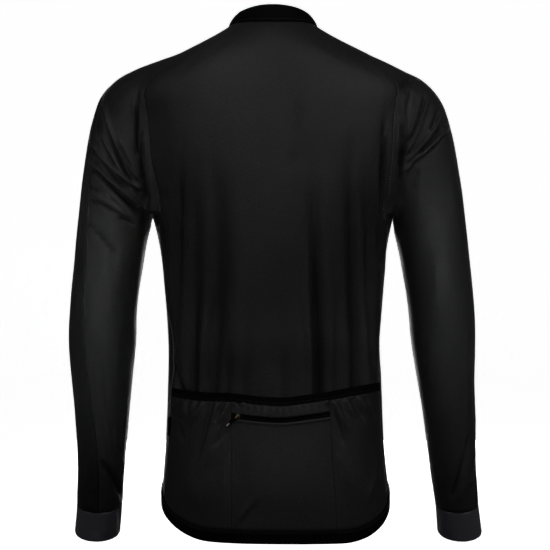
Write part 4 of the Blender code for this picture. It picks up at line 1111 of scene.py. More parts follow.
def tube(name: str, path: Grid, sides: Grid, ups: Grid, radii: tuple[float, float], finish: Finish,
         around: int = 10) -> Piece:
    """Cord along a path: an ellipse of two radii carried along it, closed at its ends.

    Args:
        name: The piece's name.
        path: Points of the middle line.
        sides: Direction of the first radius at each point.
        ups: Direction of the second radius.
        radii: The two radii.
        finish: Its material.
        around: Points round the cord.

    Returns:
        The piece.
    """
    turn = full_turn(around)[None, :, None]
    shape = radii[0] * np.cos(turn) * sides[:, None] + radii[1] * np.sin(turn) * ups[:, None]
    shrink = np.ones(len(path))
    shrink[[0, -1]] = 0.45
    points = path[:, None] + shape * shrink[:, None, None]
    faces = quads(len(path), around, True)
    caps = end_caps(len(path), around)
    if faces_inwards(points, faces, points.reshape(-1, 3)[faces[:, 0]] - path[faces[:, 0] // around]):
        faces, caps = faces[:, ::-1], caps[:, ::-1]
    girth = np.broadcast_to(turn[..., 0] * sum(radii) / 2, points.shape[:2])
    weave = np.stack([girth, lengths(points, 0)], axis=-1).reshape(-1, 2)
    return add_mesh(name, points.reshape(-1, 3), [faces, caps], finish, weave)


def read_along(at: Grid, run: Grid, values: Grid) -> Grid:
    """Points or vectors at distances along a line, read in a straight line between its rows."""
    return np.stack([np.interp(at, run, column) for column in values.T], axis=-1)


@dataclass
class StitchRow:
    """Row of machine stitches along a line on the cloth: short rounded bars, each the same small mesh.

    With a length across the line, the bars lie across it, as the teeth of a zip do.
    """

    pitch: float = 2.6
    share: float = 0.82
    half_width: float = 0.24
    rise: float = 0.26
    slant: float = 0.0
    across: float = 0.0
    stagger: float = 0.0

    def lay(self, path: Grid, normals: Grid) -> tuple[Grid, Grid]:
        """Points and faces of the row.

        Args:
            path: Points of the line.
            normals: Normals of the cloth at them.

        Returns:
            The stitches' points, and their faces as point numbers.
        """
        run = np.concatenate([[0.0], np.cumsum(np.linalg.norm(np.diff(path, axis=0), axis=-1))])
        count = max(int(run[-1] / self.pitch), 1)
        middle = (np.arange(count) + 0.5) * run[-1] / count
        places, out = read_along(middle, run, path), unit(read_along(middle, run, normals))
        ahead = unit(read_along(middle + 0.5, run, path) - read_along(middle - 0.5, run, path))
        aside = unit(np.cross(out, ahead))
        turns = np.where(np.arange(count) % 2, 1.0, -1.0)[:, None]
        places = places + self.stagger * aside * turns
        ahead = aside if self.across else unit(ahead + self.slant * aside * turns)
        aside = unit(np.cross(out, ahead))
        along = np.array([-0.5, -0.36, 0.36, 0.5]) * (self.across or self.pitch * self.share)
        thick = np.array([0.25, 1.0, 1.0, 0.25])
        sunk = np.array([-0.18, 0.0, 0.0, -0.18])
        turn = np.radians(np.arange(0, 360, 72))
        side = self.half_width * np.cos(turn)[None, :] * thick[:, None]
        up = self.rise * np.sin(turn)[None, :] * thick[:, None] + sunk[:, None]
        local = np.stack([along[:, None] + 0 * side, side, up], axis=-1).reshape(-1, 3)
        frames = np.stack([ahead, aside, out], axis=1)
        points = places[:, None] + np.einsum("pk,nkj->npj", local, frames)
        faces = quads(len(along), len(turn), True)
        shift = (np.arange(count) * len(local))[:, None, None]
        return points.reshape(-1, 3), (faces[None] + shift).reshape(-1, 4)


class Joined:
    """Many small closed shapes gathered into one piece: stitches, teeth, or the parts of a slider."""

    def __init__(self) -> None:
        """Start with no shapes."""
        self.points: list[Grid] = []
        self.faces: list[Grid] = []
        self.count = 0

    def add(self, points: Grid, faces: Sequence[Grid]) -> None:
        """Add a shape.

        Args:
            points: Its points.
            faces: Arrays of its faces, as its own point numbers.
        """
        self.points.append(points)
        self.faces += [block + self.count for block in faces]
        self.count += len(points)

    def row(self, path: Grid, normals: Grid, stitch: StitchRow) -> None:
        """Add one row of stitches along a line on the cloth."""
        points, faces = stitch.lay(path, normals)
        self.add(points, [faces])

    def finish(self, name: str, finish: Finish, frame: Optional[Grid] = None,
               origin: float | Grid = 0.0) -> Piece:
        """The piece, carried from a small part's own frame onto the garment where it has one.

        Args:
            name: The piece's name.
            finish: Its material.
            frame: The part's three axes, one a row.
            origin: Where the part's own origin comes to lie.

        Returns:
            The piece.
        """
        points = np.concatenate(self.points)
        points = points if frame is None else points @ frame + origin
        return add_mesh(name, points, self.faces, finish, points[:, [0, 2]])


STITCH = StitchRow()
SLANTED_STITCH = StitchRow(pitch=3.0, slant=0.55)
ARMHOLE_STITCH = StitchRow(pitch=3.9, share=0.62, half_width=0.75, rise=0.7)


def drawn_in(points: Grid, normals: Grid, edges: Sequence[str]) -> Grid:
    """Grid whose edges are moved in by the seam's gap, along the cloth.

    Args:
        points: Grid of points.
        normals: Their normals.
        edges: Edges to move, out of left, right, foot and head.

    Returns:
        The moved grid.
    """
    moved = points.copy()
    picks = {
        "left": ((slice(None), 0), (slice(None), 1)),
        "right": ((slice(None), -1), (slice(None), -2)),
        "foot": ((0,), (1,)),
        "head": ((-1,), (-2,)),
    }
    for edge in edges:
        line, inner = picks[edge]
        inward = unit(np.cross(normals[line], np.gradient(points[line], axis=0)))
        towards = np.sum(inward * (points[inner] - points[line]), axis=-1, keepdims=True)
        moved[line] += inward * np.sign(towards) * GAP
    return moved


@dataclass
class Panels:
    """Back, fronts and side panels, cut round the body."""

    torso: Torso
    sewing: Joined
    light_sewing: Joined
    back_columns: int = 216
    back_rows: tuple[int, int, int] = (104, 56, 32)
    front_columns: int = 56
    side_columns: int = 26
    spread: float = 1.3

    def levels(self, rows: tuple[int, int, int]) -> Grid:
        """Levels from the hem band to the neck, with so many rows below the armpit, beside it and above.

        Args:
            rows: The three counts of rows.

        Returns:
            The levels.
        """
        low = np.linspace(CLOTH_FOOT, ARMPIT_LEVEL, rows[0])
        armhole = np.linspace(ARMPIT_LEVEL, ARMHOLE_TOP, rows[1])[1:]
        top = np.linspace(ARMHOLE_TOP, 2.0, rows[2])[1:]
        return np.concatenate([low, armhole, top])

    def panel(self, name: str, node: str, angle: Grid, level: Grid, seamed: Seamed) -> None:
        """One panel: the body's surface at the panel's own angles and levels.

        Args:
            name: The piece's name.
            node: Node of the model that it stands for.
            angle: Angle of each grid point.
            level: Level of each row.
            seamed: How its edges are sewn.
        """
        points, normals = self.torso.cloth(angle, level + 0 * angle)
        cut = Cut.of(points, False)
        points = seamed.settle(drawn_in(points, normals, ALL_EDGES), normals, ALL_EDGES)
        dress(cloth_wall(name, points, normals, KNIT, round_edges=("foot",)), node, cut)

    def back(self) -> None:
        """Back panel. Its angles are border * |s|^1.3 for s from -1 to 1, which evens out its columns."""
        level = self.levels(self.back_rows)[:, None]
        part = along_row(-1.0, 1.0, self.back_columns + 1)
        left = self.torso.border(Side.LEFT.column, level)
        right = self.torso.border(Side.RIGHT.column, level)
        angle = np.where(part < 0, -left, right) * np.abs(part) ** self.spread
        self.panel("back_cloth", "back_panel", angle, level, Seamed(seed=21))

    def front(self, side: Side) -> None:
        """One front, from its side seam to the zip, its columns spread as the back's are.

        Args:
            side: Which side of the wearer.
        """
        level = self.levels((88, 44, 24))[:, None]
        part = along_row(1.0, 0.0, self.front_columns + 1) ** self.spread
        inner, outer = self.torso.zip_edge(level), 180.0 - self.torso.border(FRONT_COLUMN, level)
        angle = side.value * (180.0 - inner - (outer - inner) * part)
        seamed = Seamed(seed=31 + side.value)
        self.panel(f"front_{side.word}_cloth", f"front_{side.word}", angle, level, seamed)

    def side(self, side: Side) -> None:
        """Narrow panel under one arm, between the side seams behind and in front.

        Args:
            side: Which side of the wearer.
        """
        level = up_column(CLOTH_FOOT, ARMPIT_LEVEL, 150)
        part = along_row(0.0, 1.0, self.side_columns + 1)
        back, front = self.torso.border(side.column, level), self.torso.border(FRONT_COLUMN, level)
        angle = side.value * (back + (front - back) * part)
        seamed = Seamed(seed=41 + side.value)
        self.panel(f"side_{side.word}_cloth", f"side_panel_{side.word}", angle, level, seamed)

    def sew(self) -> None:
        """Two rows beside each side seam in front, one beside each armhole seam, a light one on it behind."""
        low = np.linspace(BAND_TOP + 0.01, ARMPIT_LEVEL - 0.02, 240)
        high = np.linspace(ARMPIT_LEVEL + 0.02, ARMHOLE_TOP, 220)
        beside = np.linspace(ARMPIT_LEVEL + 0.01, 1.06, 160)
        for side in Side:
            for off in (1.3, 2.6):
                angle = side.value * (self.torso.border(FRONT_COLUMN, low) + off)
                self.line(self.sewing, angle, low, STITCH)
            for column, off in ((side.column, -1.1), (FRONT_COLUMN, 1.1)):
                angle = side.value * (self.torso.border(column, high) + off)
                self.line(self.sewing, angle, high, STITCH)
            angle = side.value * (self.torso.border(side.column, beside) + 0.1)
            self.line(self.light_sewing, angle, beside, ARMHOLE_STITCH)

    def line(self, sewing: Joined, angle: Grid, level: Grid, stitch: StitchRow) -> None:
        """One row of stitches along a line of angles and levels on the body."""
        sewing.row(*self.torso.cloth(angle, level), stitch)


@dataclass
class Sleeve:
    """One sleeve and its cuff: rings round the arm, which start at the armhole and turn into ellipses."""

    torso: Torso
    sewing: Joined
    side: Side
    back_columns: int = 104
    front_columns: int = 46
    rings: tuple[int, int, int] = (150, 76, 20)
    fold_ring: float = 6.6
    armhole_fade: float = 6.5
    softness_rise: float = 0.5
    fold_depth: float = 1.9
    cuff_wall: float = 1.5
    cuff_step: float = 0.35
    cuff_hem: float = 9.0
    armhole_rows: int = 11
    under_columns: int = 4

    def armhole_levels(self) -> Grid:
        """Levels that mark the armhole's columns, from just over the armpit to the shoulder line."""
        low = np.linspace(ARMPIT_LEVEL, 1.0, 6)[1:]
        return np.concatenate([low, np.linspace(1.0, ARMHOLE_TOP, 7)[1:]])

    def armhole(self, column: Grid) -> tuple[Grid, Grid]:
        """Angle and level of the armhole seam at a column: down the back, under the arm, up the front.

        Args:
            column: Place round the sleeve, 0 at the shoulder line and 13 under the arm.

        Returns:
            The angles, with the side's sign, and the levels.
        """
        marks, rows = self.armhole_levels(), self.armhole_rows
        behind = np.interp(column, np.arange(rows + 1), np.append(marks[::-1], ARMPIT_LEVEL))
        before = np.interp(column - rows - self.under_columns, np.arange(rows + 1),
                           np.insert(marks, 0, ARMPIT_LEVEL))
        back = self.torso.border(self.side.column, behind)
        front = self.torso.border(FRONT_COLUMN, before)
        under = np.clip((column - rows) / self.under_columns, 0.0, 1.0)
        low = np.array([ARMPIT_LEVEL])
        start, end = self.torso.border(self.side.column, low)[0], self.torso.border(FRONT_COLUMN, low)[0]
        middle = start + (end - start) * under
        is_back, is_front = column <= rows, column >= rows + self.under_columns
        angle = np.where(is_back, back, np.where(is_front, front, middle))
        level = np.where(is_back, behind, np.where(is_front, before, low[0]))
        return self.side.value * angle, level

    def bare(self, column: Grid, steps: Grid) -> tuple[Grid, Grid, Grid]:
        """Points and normals of the sleeve without folds.

        Each ring is middle + cos(t) * reach + sin(t) * behind, with t measured from the outer edge towards
        the back. The first rings are moved onto the armhole by what they miss there, fading down the arm.

        Args:
            column: Places round the arm, from 0 to 26.
            steps: Ring numbers down the arm.

        Returns:
            The points and their outward normals, a row for each ring, and the body's normals at the armhole.
        """
        knots, first = np.arange(len(SLEEVES), dtype=float), 0 if self.side is Side.LEFT else 4
        outer_x, outer_z, inner_x, inner_z, depth, half_depth, swing = (
            spline(steps, knots, SLEEVES[:, i]) for i in (*range(first, first + 4), 8, 9, 10))
        outer = np.stack([self.side.value * outer_x, depth, outer_z], axis=-1)
        inner = np.stack([self.side.value * inner_x, depth, inner_z], axis=-1)
        middle, reach = (outer + inner) / 2, (outer - inner) / 2
        turn = np.radians(swing)
        behind = np.stack([0 * turn, -np.cos(turn), -np.sin(turn)], axis=-1) * half_depth[:, None]

        angle, level = self.armhole(column)
        loop, loop_normals = self.torso.cloth(angle, level)
        off = loop - middle[0]
        start = np.degrees(np.arctan2(off @ behind[0] / (behind[0] @ behind[0]),
                                      off @ reach[0] / (reach[0] @ reach[0]))) % 360.0
        total = 2 * self.armhole_rows + self.under_columns
        under = total / 2
        start = np.where((column < under / 2) & (start > 180.0), start - 360.0, start)
        start = np.where((column > 1.5 * under) & (start < 180.0), start + 360.0, start)
        seam = spline(steps, SLEEVE_SEAM[:, 0], SLEEVE_SEAM[:, self.side.column])[:, None]
        back_part, front_part = column / under, (column - under) / under
        target = np.where(column <= under, seam + (180 - seam) * back_part, 180 + (180 + seam) * front_part)
        around = np.radians(start + (target - start) * smoothstep(steps / 6.0)[:, None])[..., None]
        rings = middle[:, None] + np.cos(around) * reach[:, None] + np.sin(around) * behind[:, None]
        fade = (1 - np.clip(steps / self.armhole_fade, 0.0, 1.0)) ** 2
        points = rings + (loop - rings[0]) * fade[:, None, None]

        normals = grid_normals(points, False)
        if np.sum(normals[-1] * (points[-1] - middle[-1])) < 0:
            normals = -normals
        return points, normals, loop_normals

    def grid(self, column: Grid, steps: Grid) -> tuple[Grid, Grid]:
        """Points and normals of the sleeve with its folds and the softness of worn cloth, along its normals.

        Args:
            column: Places round the arm, from 0 to 26.
            steps: Ring numbers down the arm.

        Returns:
            The points and their outward normals, a row for each ring.
        """
        points, normals, loop_normals = self.bare(column, steps)
        settled = smoothstep(steps, 0.1, 1.6)[:, None]
        back = smoothstep(-normals[..., 1], 0.0, 0.4) * settled
        front = smoothstep(normals[..., 1], 0.0, 0.4) * settled
        x, z = points[..., 0], points[..., 2]
        rise = back * self.fold_depth * fold_rise(x, z, SLEEVE_BACK_FOLDS, 1.7, 0.14)
        rise += back * fold_rise(x, z, SLEEVE_BACK_CREASES, 1.5)
        rise += front * (fold_rise(x, z, SLEEVE_FRONT_FOLDS) + fold_rise(x, z, SLEEVE_FRONT_CREASES, 1.5))
        soft = Unevenness(51 + self.side.value)
        free = settled * (1 - smoothstep(steps, CUFF_RING - 0.5, CUFF_RING))[:, None]
        rise += self.softness_rise * free * soft.at(column * 0.8, z / 38.0 + 0.2 * column)
        points = points + normals * rise[..., None]
        folded = grid_normals(points, False)
        folded *= np.sign(np.sum(folded * normals, axis=-1, keepdims=True))
        folded[0] = unit(folded[0] + loop_normals)
        return points, folded

    def steps(self) -> Grid:
        """Ring numbers from the armhole to the cuff."""
        high = np.linspace(0.0, self.fold_ring, self.rings[0])
        return np.concatenate([high, np.linspace(self.fold_ring, CUFF_RING, self.rings[1])[1:]])

    def piece(self, name: str, finish: Finish, column: Grid) -> None:
        """One of the sleeve's two long pieces.

        Args:
            name: Node of the model that it stands for.
            finish: Its material.
            column: Its places round the arm.
        """
        points, normals = self.grid(column, self.steps())
        cut = Cut.of(points, False)
        seamed = Seamed(dip=0.28, pucker=0.3, seed=61 + self.side.value)
        points = seamed.settle(drawn_in(points, normals, ALL_EDGES), normals, ALL_EDGES)
        dress(cloth_wall(f"{name}_cloth", points, normals, finish), name, cut)

    def build(self) -> None:
        """Back piece, outer piece and cuff, and the stitches beside their seams."""
        word, under = self.side.word, self.armhole_rows + self.under_columns / 2
        self.piece(f"sleeve_back_{word}", KNIT, np.linspace(0.0, under, self.back_columns))
        self.piece(f"sleeve_outer_{word}", OUTER_KNIT, np.linspace(under, 2 * under, self.front_columns))
        self.cuff()

    def cuff(self) -> None:
        """Smooth cuff: the sleeve's last rings, a turned hem at the wrist and a step at its seam."""
        under = self.armhole_rows + self.under_columns / 2
        column = np.linspace(0.0, 2 * under, 97)
        steps = np.linspace(CUFF_RING, LAST_RING, self.rings[2])
        before = np.linspace(CUFF_RING - 0.4, CUFF_RING, 4)[:-1]
        points, normals = self.grid(column, np.concatenate([before, steps]))
        points, normals = points[3:, :-1], normals[3:, :-1]
        cut = Cut.of(points, True)
        down = lengths(points, 0)
        rise = self.cuff_step * smoothstep(down, 0.0, 2.5) - self.cuff_step
        rise = rise + 0.25 * Unevenness(77).at(column[:-1] * 1.3, down / 20.0)
        turned = down[-1:] - down
        rise -= 0.3 * np.exp(-(((turned - self.cuff_hem) / 0.7) ** 2))
        rise += smoothstep(-normals[..., 1], 0.0, 0.4) * fold_rise(points[..., 0], points[..., 2], CUFF_FOLDS)
        points = points + normals * rise[..., None]
        points[0] += unit(points[1] - points[0]) * GAP
        middle, out = (points[0] + points[1]) / 2, normals[0]
        self.sewing.row(np.vstack([middle, middle[:1]]), np.vstack([out, out[:1]]), SLANTED_STITCH)
        piece = cloth_wall(f"cuff_{self.side.word}_cloth", points, normals, SMOOTH_KNIT,
                           wall=self.cuff_wall, closed=True, round_edges=("head",))
        dress(piece, f"cuff_{self.side.word}", cut)


def dress(piece: Piece, node: str, cut: Optional[Cut] = None,
          body: str = "garment") -> Piece:
    """Put a piece in the frame: what it stands for, the body it moves with and its cut.

    Args:
        piece: The finished piece.
        node: Node of the model that it replaces, or nothing.
        cut: Size of the cloth as cut, for a sheet.
        body: Body that it moves with.

    Returns:
        The piece.
    """
    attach(piece, body)
    if node:
        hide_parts(node)
    if cut is not None:
        LOG.info("%s cut %.0f x %.0f mm, %.4f m2", piece.name, cut.width / MM, cut.length / MM, cut.area)
    else:
        LOG.info("%s made", piece.name)
    return piece


@dataclass
class Trims:
    """Hem band, collar, piping and side tab."""

    torso: Torso
    sewing: Joined
    band_wall: float = 2.4
    band_lift: float = 1.8
    collar_wall: float = 1.8
    piping_radius: float = 0.95
    tab_top: float = -534.0
    tab_foot: float = -560.0
    tab_out: float = 4.5

    def hem_band(self) -> None:
        """Elastic band along the hem, open at the zip: the body's lowest rows, raised by 1 - |2s - 1|^6."""
        edge = 180.0 - float(self.torso.zip_edge(np.array([0.0]))[0])
        angle = along_row(-edge, edge, 420)
        share = np.array([0.0, 0.04, 0.1, 0.2, 0.35, 0.5, 0.65, 0.8, 0.9, 0.96, 1.0])[:, None]
        level = share * BAND_TOP + 0 * angle
        angle = angle + 0 * share
        points, normals = self.torso.cloth(angle, level)
        cut = Cut.of(points, False)
        uneven = Unevenness(81).at(angle / 5.0, share * 1.5)
        crown = 0.5 * (1 - np.abs(2 * share - 1) ** 6) + 0.18 * uneven
        points = points + normals * crown[..., None]
        points[-1, :, 2] -= SEAM_GAP
        for row in (8, 7):
            self.sewing.row(points[row] + normals[row] * (self.band_lift - 0.1), normals[row], STITCH)
        piece = cloth_wall("hem_band_cloth", points, normals, ELASTIC, wall=self.band_wall,
                           lift=self.band_lift - 0.5, round_edges=("foot", "head"))
        dress(piece, "hem_band", cut)

    def collar(self) -> None:
        """Low stand collar of folded cloth, its top edge rounded, with stitches over its seam."""
        share = up_column(0.0, 1.0, 22)
        part = COLLAR_START + (1.0 - COLLAR_START) * share
        turn = along_row(-1.0, 1.0, 260)
        angle, part = self.torso.collar_edge(part) * turn, part + 0 * turn
        points = self.torso.collar_point(angle, part)
        normals = normals_of(self.torso.collar_point, angle, np.clip(part, 0.02, 0.98), 0.5, 0.02)
        cut = Cut.of(points, False)
        height = lengths(points, 0)
        rise = 0.22 * Unevenness(91).at(angle / 9.0, height / 9.0)
        rise -= 0.45 * np.exp(-((height / 1.4) ** 2))
        rise -= 0.5 * smoothstep(height[-1:] - height, 1.6, 0.0)
        points = points + normals * rise[..., None]
        self.sewing.row(points[4], normals[4], STITCH)
        piece = cloth_wall("collar_cloth", points, normals, COLLAR_KNIT, wall=self.collar_wall,
                           round_edges=("foot", "head"))
        dress(piece, "collar", cut)

    def piping(self, side: Side) -> None:
        """Light cord in the side seam behind, from the hem band to the armpit.

        Args:
            side: Which side of the wearer.
        """
        level = np.linspace(BAND_TOP + 0.012, ARMPIT_LEVEL - 0.02, 260)
        angle = side.value * self.torso.border(side.column, level)
        points, normals = self.torso.cloth(angle, level)
        aside = unit(np.cross(unit(np.gradient(points, axis=0)), normals))
        middle = points + normals * (self.piping_radius + 0.15)
        piece = tube(f"piping_{side.word}_cord", middle, aside, normals,
                     (self.piping_radius, self.piping_radius * 0.9), PIPING, 12)
        dress(piece, f"piping_{side.word}")

    def side_tab(self) -> None:
        """Small folded tab in the left side seam: a rounded strip that stands out from the side panel."""
        height = up_column(self.tab_foot, self.tab_top, 24)
        seam = self.torso.seam_angle(Side.LEFT.column, height)
        angle = -(seam + along_row(self.tab_out * 0.6, -1.3, 8))
        height = height + 0 * angle
        points = self.torso.ring_point(angle, height)
        normals = normals_of(self.torso.ring_point, angle, height, 0.5, 1.0)
        bulge = 0.35 * (1 - along_row(-1, 1, 8) ** 4)
        points = points + normals * bulge[..., None]
        piece = cloth_wall("side_tab_cloth", points, normals, ELASTIC, wall=1.9, lift=2.3,
                           round_edges=("foot", "head"))
        dress(piece, "side_tab")


@dataclass
class Pockets:
    """Three pockets on the lower back: faces, their binding, the strip over the pocket zip, and its tape."""

    torso: Torso
    sewing: Joined
    gathers: dict[str, int] = field(default_factory=lambda: {"left": 9, "centre": 0, "right": 8, "strip": 14})
    unevenness: Unevenness = Unevenness(17)
    fold_depth: float = 1.5
    foot_dip: float = 1.7
    head_dip: float = 0.9
    roll_rise: float = 1.2
    roll_place: float = 2.0
    roll_width: float = 1.9

    def top(self, x: Grid) -> Grid:
        """Height of the binding's top edge."""
        return spline(x, POCKET_TOPS[:, 0], POCKET_TOPS[:, 1])

    def under_binding(self, x: Grid) -> Grid:
        """Height of the pockets' head, tucked under the binding."""
        return self.top(x) - BINDING + TUCK

    def strip_foot(self, x: Grid) -> Grid:
        """Height of the lower edge of the strip over the zip."""
        return self.top(x) - BINDING - STRIP + SEAM_GAP / 2

    def zip_foot(self, x: Grid) -> Grid:
        """Height of the zip's lower edge."""
        return self.top(x) - BINDING - STRIP - ZIP_TAPE

    def foot(self, x: Grid) -> Grid:
        """Height of the pockets' foot, tucked behind the hem band's upper edge."""
        return self.torso.hem_height(self.torso.back_angle(x, np.full(x.shape, -640.0))) + HEM_BAND - TUCK

    def outer_edge(self, side: Side) -> Curve:
        """Outer edge of the pockets, just inside the side seam.

        Args:
            side: Which side of the wearer.

        Returns:
            The edge's distance from the middle line, by its height.
        """
        def distance(height: Grid) -> Grid:
            """The edge's distance from the middle line."""
            angle = side.value * self.torso.seam_angle(side.column, height)
            return self.torso.ring_point(angle, height)[..., 0] - side.value * POCKET_EDGE
        return distance

    def upright_seam(self, side: Side, off: float) -> Curve:
        """Line beside an upright seam between the pockets. The right seam leans out downwards.

        Args:
            side: Which of the two seams.
            off: How far the line lies to the right of the seam.

        Returns:
            The line's distance from the middle line, by its height.
        """
        foot = POCKET_SEAM_RIGHT_FOOT

        def distance(height: Grid) -> Grid:
            """The line's distance from the middle line."""
            right = foot + (POCKET_SEAM_RIGHT_TOP - foot) * smoothstep(height, BACK_HEM, -500.0)
            return (POCKET_SEAM_LEFT + 0 * height if side is Side.LEFT else right) + off
        return distance

    def lay_out(self, edges: tuple[Curve, Curve], top: Curve, foot: Curve, across: Grid,
                share: Grid) -> tuple[Grid, Grid, Grid, Grid]:
        """Place a grid between two upright edges, a foot and a top, by four rounds of substitution.

        Args:
            edges: Distance of the left and right edges by height.
            top: Height of the top at a distance.
            foot: Height of the foot at a distance.
            across: Share of the way from left to right, one row.
            share: Share of the way from foot to top, one column.

        Returns:
            Distance and height of each point, the points, and their normals.
        """
        height = np.full((share.shape[0], across.shape[1]), -560.0)
        x = 0 * height
        for _ in range(4):
            left, right = edges[0](height), edges[1](height)
            x = left + (right - left) * across
            height = foot(x) + (top(x) - foot(x)) * share
        points = self.torso.over_back(x, height)
        return x, height, points, normals_of(self.torso.over_back, x, height, 1.0, 1.0)

    def gathered(self, across: Grid, below: Grid, count: int, fade: float, rise: float) -> Grid:
        """Uneven gathers that swell out below an edge: 0.5 - 0.5 cos(2 pi n a) times exp(-(d / fade)^2).

        Args:
            across: Share of the way from left to right, one row.
            below: Distance below the edge.
            count: How many gathers there are, n in the formula.
            fade: Distance at which they have mostly faded out.
            rise: Their height.

        Returns:
            How far the cloth stands out.
        """
        if not count:
            return 0 * below + 0 * across
        shift = 0.02 * self.unevenness.at(across * count * 0.7, 0 * across) * np.sin(np.pi * across)
        shifted = across + shift
        wave = 0.5 - 0.5 * np.cos(2 * np.pi * count * shifted)
        reach = fade * (1.0 + 0.45 * self.unevenness.at(across * count + 9.0, 0 * across))
        strength = 1.0 + 0.35 * self.unevenness.at(across * count + 31.0, 0 * across)
        return rise * strength * wave * np.exp(-((below / reach) ** 2)) * smoothstep(below, -0.5, 3.5)

    def face(self, name: str, edges: tuple[Curve, Curve], top: Curve, columns: int, rows: int) -> None:
        """Face of one pocket, full in the middle and gathered at its head.

        Args:
            name: Which pocket: left, centre or right.
            edges: Its upright edges.
            top: Its head.
            columns: Columns of cells.
            rows: Rows of cells.
        """
        across = along_row(0.0, 1.0, columns + 1)
        share = (1.0 - up_column(1.0, 0.0, rows + 1) ** 1.35)
        x, height, points, normals = self.lay_out(edges, top, self.foot, across, share)
        cut = Cut.of(points, False)
        below, above = top(x) - height, height - self.foot(x)
        fall = 0.87 if self.gathers[name] else 0.3
        swell = smoothstep(share, 0.0, 0.4) * (1 - smoothstep(share, fall, 1.0))
        full = POCKET_FULLNESS * swell * smoothstep(across, 0.0, 0.4) * smoothstep(across, 1.0, 0.6)
        ease = smoothstep(share, 0.0, 0.12) * (1 - smoothstep(share, 0.95, 1.0))
        tuck = smoothstep(across, 0.0, 0.12) * smoothstep(across, 1.0, 0.88)
        rise = self.fold_depth * fold_rise(x, height, POCKET_FOLDS, 2.0, 0.08, 0.4) * tuck * ease
        rise = rise + fold_rise(x, height, POCKET_FORMS, 2.0, 0.5, 0.55) * tuck + full
        rise += self.gathered(across, below, self.gathers[name], GATHER_FADE, GATHER_RISE * 0.45)
        rise += 0.25 * tuck * ease * self.unevenness.at(x / 15.0, height / 30.0)
        rise = np.maximum(rise, 0.0) - self.foot_dip * smoothstep(above, 4.0, 0.0)
        rolled = self.roll_rise * np.exp(-(((below - self.roll_place) / self.roll_width) ** 2))
        rise += -self.head_dip * smoothstep(below, 3.0, 0.0) if self.gathers[name] else rolled
        points = points + normals * rise[..., None]
        settled = Seamed(dip=0.12, pucker=0.3, seed=23 + columns).settle(points, normals, ("left", "right"))
        for column in (2, -3):
            path = settled[3:-3, column] + normals[3:-3, column] * POCKET_LIFT
            self.sewing.row(path, normals[3:-3, column], STITCH)
        piece = cloth_wall(f"pocket_{name}_cloth", settled, normals, KNIT, wall=LIGHT_WALL,
                           lift=POCKET_LIFT)
        dress(piece, f"pocket_{name}", cut)

    def strip(self) -> None:
        """Gathered strip between the binding and the pocket zip."""
        across = along_row(0.0, 1.0, 177)
        share = up_column(0.0, 1.0, 17)
        edges = self.centre_edges()
        x, height, points, normals = self.lay_out(edges, self.under_binding, self.strip_foot, across, share)
        cut = Cut.of(points, False)
        below = self.under_binding(x) - height
        rise = self.gathered(across, below, self.gathers["strip"], STRIP_FADE, GATHER_RISE * 0.8)
        rise += (0.8 * np.sin(np.pi * share) ** 0.8 + 3.6 * (1 - share)) * np.sin(np.pi * across) ** 0.5
        rise += fold_rise(x, height, POCKET_FOLDS) - self.head_dip * smoothstep(below, 3.0, 0.0)
        points = points + normals * np.maximum(rise, -self.head_dip)[..., None]
        piece = cloth_wall("pocket_strip_cloth", points, normals, KNIT, wall=LIGHT_WALL,
                           lift=POCKET_LIFT, round_edges=("foot",))
        dress(piece, "pocket_strip", cut)

    def centre_edges(self) -> tuple[Curve, Curve]:
        """Edges of the middle pocket, half a gap inside its seams."""
        return self.upright_seam(Side.LEFT, CLOSE_GAP / 2), self.upright_seam(Side.RIGHT, -CLOSE_GAP / 2)

    def zip_tape(self) -> None:
        """Tape of the pocket zip: two halves that meet in a groove, with a raised line beside it."""
        across = along_row(0.0, 1.0, 161)
        share = up_column(0.0, 1.0, 15)
        top, foot = (lambda x: self.strip_foot(x) - SEAM_GAP), (lambda x: self.zip_foot(x) + SEAM_GAP / 2)
        *_, points, normals = self.lay_out(self.centre_edges(), top, foot, across, share)
        off = (share - 0.5) * ZIP_TAPE
        rise = -0.55 * np.exp(-((off / 0.45) ** 2)) + 0.3 * np.exp(-(((np.abs(off) - 1.2) / 0.5) ** 2))
        points = points + normals * (rise + 0 * across)[..., None]
        piece = cloth_wall("pocket_zip_cloth", points, normals, ZIP_CLOTH, wall=1.2,
                           lift=POCKET_LIFT - 0.15)
        dress(piece, "pocket_zip_tape")

    def band(self) -> None:
        """Elastic binding across all three pockets, raised by 1 - |2s - 1|^6, with two rows of stitches."""
        across = along_row(0.0, 1.0, 401)
        share = np.array([0.0, 0.05, 0.12, 0.22, 0.35, 0.5, 0.65, 0.78, 0.88, 0.95, 1.0])[:, None]
        edges = self.outer_edge(Side.LEFT), self.outer_edge(Side.RIGHT)
        foot = lambda x: self.top(x) - BINDING + SEAM_GAP / 2
        x, height, points, normals = self.lay_out(edges, self.top, foot, across, share)
        cut = Cut.of(points, False)
        crown = 0.4 * (1 - np.abs(2 * share - 1) ** 6) + 0.15 * self.unevenness.at(x / 9.0, height / 6.0)
        points = points + normals * crown[..., None]
        lift = POCKET_CLEAR + BINDING_WALL + 0.25
        for row in (2, 4):
            self.sewing.row(points[row] + normals[row] * (lift - 0.1), normals[row], STITCH)
        piece = cloth_wall("pocket_band_cloth", points, normals, ELASTIC, wall=BINDING_WALL,
                           lift=lift, round_edges=("foot", "head"))
        dress(piece, "pocket_band", cut)

    def build(self) -> None:
        """All pieces of the pockets."""
        gap = CLOSE_GAP / 2
        left = self.outer_edge(Side.LEFT), self.upright_seam(Side.LEFT, -gap)
        right = self.upright_seam(Side.RIGHT, gap), self.outer_edge(Side.RIGHT)
        self.face("left", left, self.under_binding, 108, 96)
        self.face("right", right, self.under_binding, 96, 96)
        self.face("centre", self.centre_edges(), lambda x: self.zip_foot(x) - gap, 84, 84)
        self.strip()
        self.zip_tape()
        self.band()


